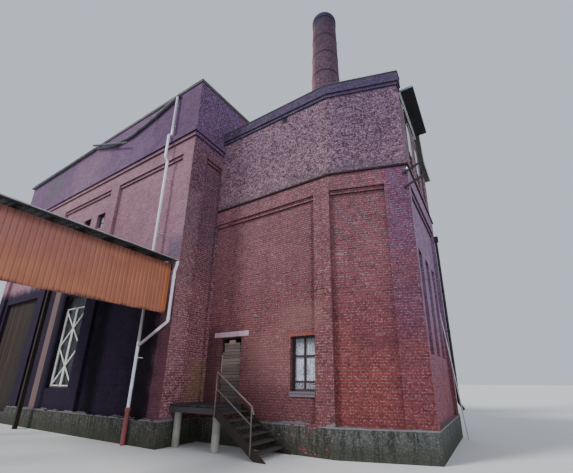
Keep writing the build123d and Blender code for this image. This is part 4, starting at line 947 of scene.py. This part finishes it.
class FACTORY_OT_brickwork(bpy.types.Operator):
    """Gives the walls, the pedestal and the chimney their brickwork"""

    bl_idname = "factory.brickwork"
    bl_label = "Brickwork"

    def execute(self, context):
        render = ((78, 82, 80), (94, 94, 92), (64, 64, 60), 0.02)
        ragged_render = ((76, 78, 74), (92, 88, 82), (84, 64, 62), 0.16)
        green_render = ((70, 70, 64), (88, 86, 80), (60, 58, 52), 0.1)
        soot = (40, 32, 40)
        # Thin dark line at the projecting course at 8.4 m: painted shadow.
        ledge_shadow = [(8.362, 8.442, (46, 32, 40), 0.9, 0.006)]
        upper = dict(
            tones=[(88, 66, 78), (148, 122, 132), (104, 82, 92), (160, 136, 144), (94, 72, 84),
                   (132, 108, 116)],
            joint=(120, 102, 110), pale=0.01, headers=True, pits=0.65,
            # Painted sky light with some brick tone, changing with height.
            tone_and_sky_light=((0.92, 0.79, 0.86, 1), (0.84, 0.74, 0.86, 1), 8.5, 11.5),
            bands=[(11.7, 12.3, (56, 54, 84), 0.7, 0.05), (8.43, 8.75, (92, 90, 92), 0.3, 0.12)])
        plain = dict(tones=shades(118, 66, 66), dirt=0.35, plinth=green_render,
                     bands=[(13.0, 14.4, soot, 0.3, 0.4)])
        walls = {
            "yard_wall": dict(
                tones=shades(119, 65, 68), pale=0.012, dirt=0.2, plinth=ragged_render, bands=ledge_shadow,
                # Painted sky light with some brick tone, changing with height.
                tone_and_sky_light=((0.94, 0.96, 0.98, 1), (1.04, 1.24, 1.42, 1), 2.5, 7.5),
                patches=[(at(-3.45, -0.7, 3.75), (0.75, 0.3, 0.3), (168, 124, 116), 0.22, 0.3),
                         (at(-4.75, -0.7, 2.5), (0.8, 0.3, 0.7), (156, 116, 112), 0.2, 0.35),
                         (at(-7.2, -0.7, 2.2), (0.3, 0.3, 1.3), (66, 48, 52), 0.5, 0.35),
                         (at(-4.9, -0.7, 1.0), (2.6, 0.3, 0.55), (74, 50, 54), 0.2, 0.5),
                         (at(-3.44, -0.65, 3.22), (0.5, 0.2, 0.04), (156, 90, 70), 0.5, 0.03)],
                # Lighter by the tall block's corner: painted light.
                tints_light_and_shade=[(at(-7.1, -0.7, 6.2), (0.5, 0.3, 2.4), (1.35, 1.3, 1.3, 1), 1.0, 0.6),
                        # Dark line along the sunk panel's edge: painted shadow.
                        (at(-3.06, -0.65, 4.2), (0.06, 0.2, 3.4), (0.66, 0.6, 0.66, 1), 1.0, 0.04)]),
            "splay_wall": dict(
                tones=shades(129, 67, 69), pale=0.012, plinth=render, bands=ledge_shadow, pits=0.15,
                # Painted sky light with some brick tone, changing with height.
                tone_and_sky_light=((0.83, 0.7, 0.68, 1), (0.88, 1.12, 1.36, 1), 1.5, 7.0),
                patches=[(at(-2.35, -0.75, 0.4), (0.16, 0.2, 0.22), (205, 205, 205), 0.8, 0.08),
                         (at(-1.2, -0.4, 2.95), (0.5, 0.4, 0.2), (84, 48, 58), 0.35, 0.3)],
                # Darker, bluer corner pier: painted sky light and shade.
                tints_light_and_shade=[(at(-0.3, -0.1, 5.8), (0.35, 0.25, 2.8), (0.84, 0.86, 1.03, 1), 1.0, 0.16),
                        (at(-0.3, -0.1, 7.2), (0.35, 0.25, 1.6), (0.9, 0.95, 1.1, 1), 1.0, 0.3),
                        (at(-0.3, -0.1, 2.7), (0.5, 0.35, 1.7), (0.86, 0.93, 1.06, 1), 1.0, 0.5)]),
            "side_wall": dict(
                tones=shades(124, 86, 104), pale=0.01, plinth=render, bands=ledge_shadow,
                # Painted sky light with some brick tone, changing with height.
                tone_and_sky_light=((1.1, 0.8, 0.76, 1), (1.2, 1.48, 1.8, 1), 1.5, 5.0)),
            "rear_wall": dict(tones=shades(118, 62, 60), dirt=0.3, plinth=render, bands=ledge_shadow),
            "yard_wall_upper": dict(
                upper, patches=[(at(-4.19, -0.7, 11.59), (0.1, 0.3, 0.13), (34, 32, 40), 0.9, 0.04)],
                # Lighter by the tall block's corner: painted light.
                tints_light_and_shade=[(at(-7.2, -0.745, 10.2), (0.8, 0.3, 2.4), (1.4, 1.34, 1.34, 1), 1.0, 0.5)]),
            "splay_wall_upper": dict(
                upper, tints_light_and_shade=[(at(-1.2, -0.4, 10.2), (1.0, 0.8, 2.6), (0.84, 0.82, 0.95, 1), 1.0, 0.6)]),
            "side_wall_upper": dict(
                upper, bands=upper["bands"] + [(11.29, 11.4, (186, 180, 190), 0.6, 0.02)]),
            "rear_wall_upper": upper,
            "tall_front_wall": dict(
                tones=shades(152, 109, 123, 0.08), joint=(164, 134, 146), pale=0.01,
                plinth=green_render, pits=0.12,
                patches=[(at(-19.7, TALL_FRONT, 12.9), (0.8, 0.3, 0.5), (92, 96, 92), 0.5, 0.5),
                         (at(-16.1, TALL_FRONT, 3.3), (0.25, 0.5, 2.9), (126, 104, 100), 0.9, 0.04)],
                # These three darken the wall under the canopy: painted shadow.
                tints_light_and_shade=[(at(-17.9, TALL_FRONT, 3.1), (6.5, 0.5, 3.3), (0.08, 0.09, 0.17, 1), 1.0, 0.4),
                        (at(-10.1, TALL_FRONT, 2.6), (1.9, 0.5, 2.7), (0.08, 0.09, 0.17, 1), 1.0, 0.6),
                        (at(-8.0, TALL_FRONT, 2.2), (1.2, 0.5, 2.6), (0.42, 0.3, 0.32, 1), 1.0, 0.9),
                        # Bluer, darker upper part of the wall: painted sky light.
                        (at(-15.1, TALL_FRONT, 13.2), (9.0, 0.6, 1.95), (0.56, 0.61, 0.86, 1), 1.0, 0.1),
                        (at(-15.8, TALL_FRONT, 12.4), (1.2, 0.6, 1.2), (1.2, 1.2, 1.06, 1), 1.0, 1.2),
                        (at(-8.0, TALL_FRONT, 12.6), (2.2, 0.6, 1.2), (0.74, 0.7, 0.76, 1), 1.0, 1.2),
                        (at(-7.7, TALL_FRONT, 6.3), (0.5, 0.5, 0.4), (0.55, 0.66, 0.76, 1), 1.0, 0.4)]),
            "tall_side_wall": dict(
                tones=shades(112, 65, 76, 0.16), joint=(150, 122, 128), pale=0.015, dirt=0.2,
                plinth=green_render, pits=0.5,
                patches=[(at(LOW_LEFT, -0.95, 1.9), (0.3, 0.24, 0.5), (118, 98, 62), 0.55, 0.35),
                         (at(LOW_LEFT, -2.1, 5.5), (0.3, 0.3, 3.2), (172, 142, 142), 0.16, 0.3)],
                # Darker, bluer top of the flank: painted shade in sky light.
                tints_light_and_shade=[(at(LOW_LEFT, -1.4, 12.6), (0.3, 1.6, 1.6), (0.72, 0.88, 1.5, 1), 0.9, 0.6),
                        (at(LOW_LEFT, -1.5, 3.2), (0.3, 1.2, 1.8), (1.3, 1.2, 1.15, 1), 1.0, 0.8),
                        (at(LOW_LEFT, -1.7, 8.6), (0.3, 1.0, 1.6), (0.76, 0.83, 1.0, 1), 0.9, 0.8)]),
            "tall_back_wall": plain,
            "tall_far_wall": plain,
            "chimney_pedestal": dict(tones=shades(98, 60, 64), dirt=0.4, plinth=render),
            "chimney_shaft": dict(
                tones=shades(76, 50, 70, 0.16), joint=(104, 84, 104), pale=0.01, dirt=0.3,
                about=CHIMNEY, pits=0.3,
                # Lighter orange-brown strip down the shaft's left side: painted sunlight.
                patches=[(CHIMNEY + Vector((-0.72, -0.62, 24.0)), (0.22, 0.22, 12.0), (184, 122, 110),
                          0.45, 0.2)],
                bands=[(26.9, 27.9, (42, 46, 76), 0.65, 0.3), (24.6, 27.0, soot, 0.35, 0.9)]),
        }
        for node, values in walls.items():
            dress(brick_material(node.replace("_", " ") + " brick", **values), node)
        return {"FINISHED"}


class FACTORY_OT_finishes(bpy.types.Operator):
    """Gives the roofs, pipes, timbers and small parts of the frame their finishes"""

    bl_idname = "factory.finishes"
    bl_label = "Finishes"

    def execute(self, context):
        dull = (142, 124, 128)
        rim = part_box("canopy_gutter")[1].z
        # Each metal: name, base, stain, rust, metallic, roughness, level of rust; more; its nodes
        for values, more, nodes in (
            (("old zinc", (112, 114, 120), (82, 84, 90), (84, 70, 64), 0.3, 0.5, 0.68), {"spangle": 0.3},
             "tall_gutter loose_gutter rear_gutters rear_downpipes"),
            (("rusty iron", (52, 40, 42), (40, 34, 38), (88, 54, 44), 0.5, 0.6, 0.55), {}, "corner_brackets"),
            (("red iron", (154, 80, 82), (132, 70, 74), (88, 58, 58), 0.1, 0.6), {}, "standpipe"),
            (("flaking paint", (62, 50, 50), (48, 40, 40), (150, 146, 146), 0.0, 0.6, 0.64), {},
             "window_frames"),
            (("pale pipe", (212, 206, 214), (184, 180, 190), (120, 104, 92), 0.1, 0.5, 0.7), {},
             "leaning_pole"),
            (("long pipe", (244, 248, 255), (222, 226, 244), (128, 104, 92), 0.1, 0.5, 0.72),
             {"bands": [(3.05, 5.75, dull, 0.8, 0.1), (11.9, 14.0, (158, 152, 172), 0.6, 0.1)]},
             "front_downpipe"),
            (("canopy pipe", (250, 242, 255), (236, 226, 244), (140, 116, 108), 0.0, 0.5, 0.72),
             {"bands": [(2.5, 3.4, dull, 0.8, 0.05)]}, "canopy_downpipe"),
            (("dark pipe", (40, 36, 42), (54, 46, 50), (90, 62, 54), 0.1, 0.6, 0.62), {}, "side_downpipe"),
            # The pale band on the gutter's top edge is a painted highlight.
            (("eave gutter", (50, 47, 55), (38, 36, 42), (78, 54, 50), 0.2, 0.55, 0.66),
             {"bands": [(rim - 0.028, rim + 1, (190, 182, 192), 0.85, 0.003)]}, "canopy_gutter"),
            (("hoop iron", (26, 20, 32), (36, 28, 40), (54, 36, 40), 0.0, 0.8), {}, "chimney_bands"),
            (("worn rail", (124, 112, 108), (98, 88, 86), (84, 62, 56), 0.2, 0.55), {}, "stair_rail"),
        ):
            dress(metal_material(*values, **more), nodes)

        dress(felt_material(), "low_roof tall_roof parapet_cap")
        dress(stone_material("old concrete", (142, 138, 130), (172, 168, 160), (88, 82, 76), 0.75),
              "floors landing_posts")
        streaks = (120, 92, 100)
        dress(stone_material("lintel stone", (196, 160, 178), (218, 186, 196), streaks, 0.7), "door_lintel")
        # The dark band at the sill's lower edge is a painted shadow line.
        dress(stone_material("sill stone", (104, 96, 104), (122, 112, 120), streaks, 0.7,
                             [(1.515, 1.535, (50, 40, 46), 0.9, 0.004)]), "window_sill")
        dress(glass_material(), "window_glass")

        low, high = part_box("hood")
        middle = (low + high) / 2
        # Pale bluish lines on the hood's front and end edges: painted highlight.
        highlit_edges = [(Vector((middle.x, low.y, middle.z)), (1.0, 0.004, 0.1), (128, 152, 170), 0.95, 0.001),
                (Vector((high.x, middle.y, middle.z)), (0.004, 3.0, 0.1), (128, 152, 170), 0.95, 0.001)]
        dark = [(40, 34, 31), (60, 51, 45), (48, 41, 38), (74, 65, 58)]
        for name, axis, colours, patches, nodes in (
            ("dark timber along", "X", dark, (), "canopy_rafters stair_stringers"),
            ("dark timber across", "Y", dark, (), "canopy_beams fascia_frame"),
            ("dark timber upright", "Z", dark, (), "canopy_posts door_frame hatch_frames"),
            ("hood boards", "Y", [(30, 28, 34), (42, 40, 46), (24, 22, 28)], highlit_edges, "hood"),
            ("pale boards", "Y", [(166, 176, 180), (196, 202, 206), (140, 148, 150)], (), "roof_boards"),
            ("tread boards", "Y", [(58, 54, 54), (74, 70, 68), (46, 43, 44)], (), "stair_treads"),
        ):
            dress(wood_material(name, axis, colours, patches=patches), nodes)
        return {"FINISHED"}


class FACTORY_OT_windows(bpy.types.Operator):
    """Adds the glazing bars of every window"""

    bl_idname = "factory.windows"
    bl_label = "Glazing bars"

    def execute(self, context):
        rusted = metal_material("window bars", (92, 70, 60), (74, 56, 50), (120, 76, 54), 0.1, 0.65, 0.5)
        white = metal_material("white bars", (246, 246, 242), (222, 220, 216), (92, 74, 66), 0.0, 0.6, 0.56,
                               worn_size=14.0)
        flaking = metal_material("flaking board", (172, 170, 180), (142, 140, 150), (66, 54, 58), 0.0, 0.7,
                                 0.46, worn_size=26.0)
        timber = wood_material("sash timber", "Z", [(52, 40, 38), (74, 58, 54), (42, 32, 34)])
        depth = PANEL + FRAME_SET + 0.022
        edge = 2 * FRAME_WIDE

        wide, tall = YARD_WINDOW
        centre = YARD_START + wide / 2
        inner = wide - edge
        bars = [((0.055, 0.05, tall - edge), 0.0, 0.5), ((inner, 0.045, 0.05), 0.0, 0.17),
                ((inner, 0.045, 0.06), 0.0, 0.63), ((0.03, 0.036, tall - edge), -0.5, 0.5),
                ((0.03, 0.036, tall - edge), 0.5, 0.5)]
        pieces = [(size, in_wall(YARD, centre + off * (inner - 0.03), depth, YARD_SILL + tall * up))
                  for size, off, up in bars]
        add_piece("yard_window_bars", members(pieces, timber), "iron")
        board = [((inner - 0.01, 0.02, 0.19), in_wall(YARD, centre, depth + 0.004, YARD_SILL + tall * 0.1))]
        add_piece("yard_window_low_board", members(board, flaking), "boards")

        walls = ((TALL_YARD, SMALL_STARTS[:2]), (TALL_REAR, SMALL_STARTS))
        small = [(wall, start, SMALL_SILL) for wall, bays in walls for starts in bays for start in starts]
        back = [(TALL_REAR, starts[0], TALL_SILL) for starts in SMALL_STARTS]
        for name, size, columns, rows, places in (
            ("slit_window_bars", SLIT_WINDOW, 2, 11, [(SIDE, start, SLIT_SILL) for start in SIDE_STARTS]),
            ("rear_window_bars", YARD_WINDOW, 2, 4, [(REAR, start, YARD_SILL) for start in REAR_STARTS]),
            ("high_window_bars", SMALL_WINDOW, 2, 2, small),
            ("back_window_bars", TALL_WINDOW, 4, 9, back),
        ):
            mesh = grow("Glazing bars", (SOFT_EDGE,), width=size[0] - edge, height=size[1] - edge,
                        columns=columns, rows=rows, bar=context.scene.factory_joinery.bar, material=rusted)
            parts = [(mesh, in_wall(wall, start + size[0] / 2, depth, sill + size[1] / 2))
                     for wall, start, sill in places]
            add_piece(name, gather(rusted, parts), "iron")

        start = SMALL_STARTS[1][0]
        inner = TALL_WINDOW[0] - edge
        foot, rise, upright = 1.62, 0.8, 0.15
        pieces = []
        for k, top in enumerate((4.9, 4.9, 5.25)):
            along = start + FRAME_WIDE + upright / 2 + k * (inner - upright) / 2
            pieces.append(((upright, 0.04, top - foot), in_wall(TALL_YARD, along, depth, (top + foot) / 2)))
        half = (inner - 0.08) / 2
        slope = math.atan2(rise, half)
        for k in range(2):
            for rung in range(4):
                lean = Matrix.Rotation(slope if (k + rung) % 2 else -slope, 4, "Y")
                along = start + FRAME_WIDE + 0.04 + (k + 0.5) * half
                pieces.append(((math.hypot(half, rise) - 0.06, 0.03, 0.07),
                               in_wall(TALL_YARD, along, depth, 2.05 + rung * rise) @ lean))
        for up in (1.66, 4.94):
            pieces.append(((inner, 0.035, 0.05), in_wall(TALL_YARD, start + TALL_WINDOW[0] / 2, depth, up)))
        add_piece("lattice_window_bars", members(pieces, white), "old_paint")
        return {"FINISHED"}


class FACTORY_OT_boarding(bpy.types.Operator):
    """Adds the boards of the doorway, the upper openings and the gateway, and makes the landing boards'
    finish
    """

    bl_idname = "factory.boarding"
    bl_label = "Boarding"

    def execute(self, context):
        thick = context.scene.factory_joinery.board_thick
        gap = context.scene.factory_joinery.board_gap
        foot = [(at(-6.3, -0.5, 1.55), (0.6, 0.4, 0.35), (64, 58, 58), 0.5, 0.5)]
        # Darker right end of the gate: painted shadow under the canopy.
        canopy_shadow = [(at(-17.9, TALL_FRONT, 3.0), (1.1, 1.0, 4.0), (34, 30, 38), 0.85, 0.9)]
        grey = [(130, 113, 108), (156, 137, 129), (108, 94, 90), (144, 128, 118)]
        door = wood_material("door boards", "X", grey, 0.4, foot)
        tan = wood_material("tan boards", "Z", [(134, 116, 108), (158, 138, 128), (110, 94, 88)], 0.7)
        pale = wood_material("hatch boards", "Z", [(160, 164, 176), (184, 186, 198), (130, 132, 144)], 0.7)
        # The gate's very dark browns are partly painted shade.
        gate = wood_material("gate boards", "Z", [(44, 34, 29), (56, 43, 36), (36, 28, 25)], 0.7, canopy_shadow)
        wood_material("landing boards", "Y", [(50, 46, 50), (64, 60, 62), (40, 37, 41)], 0.7)
        iron = bpy.data.materials["rusty iron"]

        depth = PANEL + FRAME_SET - 0.016
        left, right, sill = DOOR
        parts = []
        rows = ((left, right, sill, DOOR_HIGH[2], 15, 5), (*DOOR_HIGH, 3, 7))
        for first, last, low, high, count, seed in rows:
            mesh = boards(high - low, last - first, count, seed, door, gap=gap, ragged=0.05, tilt=0.01)
            parts.append((mesh, in_wall(YARD, (first + last) / 2, depth, (low + high) / 2) @ QUARTER["Y"]))
        add_piece("doorway_boards", gather(door, parts), "boards", "door_boards")
        covers = [(boards(0.3, 0.13, 1, 2, tan), in_wall(YARD, 1.08, depth - 0.026, 3.15)),
                  (boards(0.045, 0.6, 1, 3, tan), in_wall(YARD, 0.65, depth - 0.026, 2.43))]
        add_piece("doorway_cover_board", gather(tan, covers), "tan_boards")
        nails = [in_wall(YARD, along, depth - thick / 2, sill + 0.054 + k * 0.1073).translation
                 for k in range(15) for along in (left + 0.06, right - 0.06)]
        add_piece("doorway_nails", fixings(nails, 0.006, (0, -1, 0), iron), "iron")

        wide, tall = UPPER_OPENING
        parts = []
        for k, open_top in enumerate((0.0, 0.0, 0.26)):
            height = tall - open_top
            mesh = boards(wide, height, 5, 11 + k, pale, gap=gap, ragged=0.07, tilt=0.012, missing=0.12)
            parts.append((mesh, in_wall(SIDE, SIDE_STARTS[k] + wide / 2, UPPER_PANEL + FRAME_SET - 0.015,
                                        UPPER_SILL + height / 2)))
        add_piece("upper_opening_boards", gather(pale, parts), "boards", "hatch_boards")
        parts = []
        for k, low, high in ((0, 9.62, 10.8), (1, 9.5, 10.62)):
            mesh = boards(0.5, high - low, 3, 41 + k, pale, gap=gap, ragged=0.1, tilt=0.02)
            parts.append((mesh, in_wall(SIDE, SIDE_STARTS[k] + wide / 2, UPPER_PANEL - thick / 2,
                                        (low + high) / 2)))
        add_piece("upper_face_boards", gather(pale, parts), "boards")

        start, run, sill, height = GATE
        middle = BAY_STARTS[0] + start + run / 2
        behind = PANEL + FRAME_SET + 0.015
        planks = boards(run, height, 26, 21, gate, 0.028, gap=0.005, ragged=0.004, tilt=0.001)
        rails = boards(height - 1.2, run, 3, 22, gate, 0.028, gap=1.2, ragged=0.0, tilt=0.0)
        parts = [(planks, in_wall(TALL_YARD, middle, behind, sill + height / 2)),
                 (rails, in_wall(TALL_YARD, middle, behind + 0.03, sill + height / 2) @ QUARTER["Y"])]
        add_piece("gateway_boards", gather(gate, parts), "tan_boards", "gate_boards")
        return {"FINISHED"}


class FACTORY_OT_sheeting(bpy.types.Operator):
    """Adds the ribbed sheets of the canopy's face and roof"""

    bl_idname = "factory.sheeting"
    bl_label = "Canopy sheets"

    def execute(self, context):
        settings = context.scene.factory_sheets
        orange = orange_material(tuple(settings.face_colour))
        low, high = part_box("canopy_fascia")
        width = high.y - low.y
        sheet = ribbed_sheet(orange, width=width, height=high.z - low.z, pitch=settings.face_pitch,
                             depth=0.012, foot=0.05, crest=0.4, dents=0.005, wave=0.03)
        stand = Matrix.Translation((low + high) / 2) @ QUARTER["Z"] @ QUARTER["X"]
        add_piece("canopy_face_sheet", gather(orange, [(sheet, stand)]), "orange_sheet", "canopy_fascia")
        iron = bpy.data.materials["rusty iron"]
        screws = [Vector((high.x - 0.003, low.y + 0.1 + k * 2 * settings.face_pitch, z))
                  for k in range(int(width / settings.face_pitch / 2)) for z in (FASCIA_LOW + 0.09, 5.3)]
        add_piece("canopy_face_screws", fixings(screws, 0.008, (1, 0, 0), iron), "iron")

        # Its undersides are darkened as painted shade under the canopy.
        grey = metal_material("roof sheet", (112, 112, 110), (86, 86, 84), (112, 72, 50), 0.1, 0.6, 0.55,
                              under=0.9)
        low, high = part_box("canopy_roof")
        slope_length = (high.x - low.x) * math.hypot(1.0, math.tan(CANOPY_SLOPE))
        sheet = ribbed_sheet(grey, width=high.y - low.y - 0.004, height=slope_length - 0.03,
                             pitch=settings.roof_pitch, depth=0.03, foot=0.1, crest=0.9, wave=0.0)
        lay = Matrix.Translation((low + high) / 2) @ Matrix.Rotation(CANOPY_SLOPE, 4, "Y") @ QUARTER["Z"]
        mesh = gather(grey, [(sheet, lay)])
        cut_notch(mesh, CORNER.x + PIPE_X, 0.085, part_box("front_downpipe")[0].y + 0.05)
        add_piece("canopy_roof_sheet", mesh, "roof_sheet", "canopy_roof")
        return {"FINISHED"}


class FACTORY_OT_ironwork(bpy.types.Operator):
    """Adds gutter straps, hoop bolts, pipe collars and the arm's insulator"""

    bl_idname = "factory.ironwork"
    bl_label = "Ironwork"

    def execute(self, context):
        zinc = bpy.data.materials["old zinc"]
        radius = 0.075
        y = TALL_FRONT - radius - 0.0003
        sag = [(0.09, 0), (-1.4, -0.4), (-3.1, -0.74), (-4.6, -0.67), (-5.7, -0.34), (-6.5, -0.06)]
        lines = [[at(PIPE_X + run, y, EAVE_TOP + drop) for run, drop in sag],
                 [at(PIPE_X - 6.7, y, EAVE_TOP), at(TALL_LEFT, y, EAVE_TOP - 0.06)]]
        parts = [(straps(line, 0.9, radius + 0.004, zinc), Matrix()) for line in lines]
        add_piece("gutter_straps", gather(zinc, parts), "zinc")
        dark = bpy.data.materials["eave gutter"]
        low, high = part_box("canopy_gutter")
        line = [Vector(((low.x + high.x) / 2, y, high.z)) for y in (low.y + 0.02, high.y - 0.02)]
        add_piece("canopy_gutter_straps", gather(dark, straps(line, 0.74, 0.064, dark)), "zinc")

        iron = bpy.data.materials["rusty iron"]
        bolts = []
        for drop in HOOP_DROPS:
            z = CHIMNEY_TOP - CHIMNEY_HEAD - drop + HOOP_HALF
            radius = TOP_RADIUS + TAPER * (CHIMNEY_TOP - z) + 0.016
            for turn in (25, 35, 205, 215):
                a = math.radians(turn)
                bolts.append(CHIMNEY + Vector((radius * math.cos(a), radius * math.sin(a), z)))
        add_piece("hoop_bolts", fixings(bolts, 0.03, (0, 0, 1), iron), "iron")

        paint = bpy.data.materials["canopy pipe"]
        ring = turned([(0.045, -0.045), (0.058, -0.045), (0.06, 0.03), (0.056, 0.045), (0.045, 0.045)], paint)
        parts = [(ring, Matrix.Translation(at(*CANOPY_PIPE, z))) for z in COLLAR_HEIGHTS]
        add_piece("canopy_pipe_collars", gather(paint, parts), "zinc")

        t = Material("white glaze", Coat_Weight=0.6)
        age = t.age()
        china = t.finish(t.mix(t.fade(age["Speck"], 0.45, 0.7), (226, 224, 220), (150, 142, 136)),
                         t.fade(age["Cloud"], 0.0, 1.0, 0.2, 0.45))
        knob = turned([(0.012, -0.03), (0.012, 0.0), (0.032, 0.006), (0.036, 0.03), (0.022, 0.042),
                       (0.03, 0.056), (0.028, 0.078), (0.01, 0.09)], china)
        parts = [(knob, Matrix.Translation(at(*ARM_END)))]
        add_piece("arm_insulator", gather(china, parts), "old_paint")
        return {"FINISHED"}


class FACTORY_OT_stair(bpy.types.Operator):
    """Adds the landing's boards over its rim"""

    bl_idname = "factory.stair"
    bl_label = "Door stair"

    def execute(self, context):
        deck = bpy.data.materials["landing boards"]
        low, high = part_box("stair_landing")
        size = high - low
        middle = (low + high) / 2
        flat = boards(size.x - 0.01, size.y - 0.02, 13, 31, deck, 0.045, gap=0.01, tilt=0.004)
        long_rim, short_rim = [boards(0.17, run, 1, seed, deck, 0.05, gap=0.0, ragged=0.0, tilt=0.0)
                               for run, seed in ((size.x - 0.01, 33), (size.y - 0.12, 34))]
        parts = [(flat, Matrix.Translation((middle.x, middle.y, high.z - 0.026)) @ QUARTER["X"])]
        z = low.z + 0.095
        for y in (low.y + 0.03, high.y - 0.03):
            parts.append((long_rim, Matrix.Translation((middle.x, y, z)) @ QUARTER["Y"]))
        for x in (low.x + 0.03, middle.x, high.x - 0.03):
            parts.append((short_rim, Matrix.Translation((x, middle.y, z)) @ QUARTER["Z"] @ QUARTER["Y"]))
        add_piece("landing_deck", gather(deck, parts), "boards", "stair_landing")
        return {"FINISHED"}


class FACTORY_PT_panel(bpy.types.Panel):
    """Lists the steps that dress the building"""

    bl_label = "Brick factory"
    bl_space_type = "VIEW_3D"
    bl_region_type = "UI"
    bl_category = "Factory"

    def draw(self, context):
        for step in STEPS:
            self.layout.operator(step.bl_idname)


SETTINGS = {"factory_brickwork": BrickworkSettings, "factory_joinery": JoinerySettings,
            "factory_sheets": SheetSettings, "factory_stage": StageSettings}
STEPS = (FACTORY_OT_stage, FACTORY_OT_brickwork, FACTORY_OT_finishes, FACTORY_OT_windows, FACTORY_OT_boarding,
         FACTORY_OT_sheeting, FACTORY_OT_ironwork, FACTORY_OT_stair)


def register():
    """Registers the settings, the steps and the panel."""
    for kind in (*SETTINGS.values(), *STEPS, FACTORY_PT_panel):
        bpy.utils.register_class(kind)
    for name, kind in SETTINGS.items():
        setattr(bpy.types.Scene, name, bpy.props.PointerProperty(type=kind))


def unregister():
    """Removes what register added."""
    for name in SETTINGS:
        delattr(bpy.types.Scene, name)
    for kind in (*SETTINGS.values(), *STEPS, FACTORY_PT_panel):
        bpy.utils.unregister_class(kind)


def main():
    """Registers and runs every step."""
    register()
    for step in STEPS:
        group, name = step.bl_idname.split(".")
        getattr(getattr(bpy.ops, group), name)()


if __name__ == "__main__":
    main()
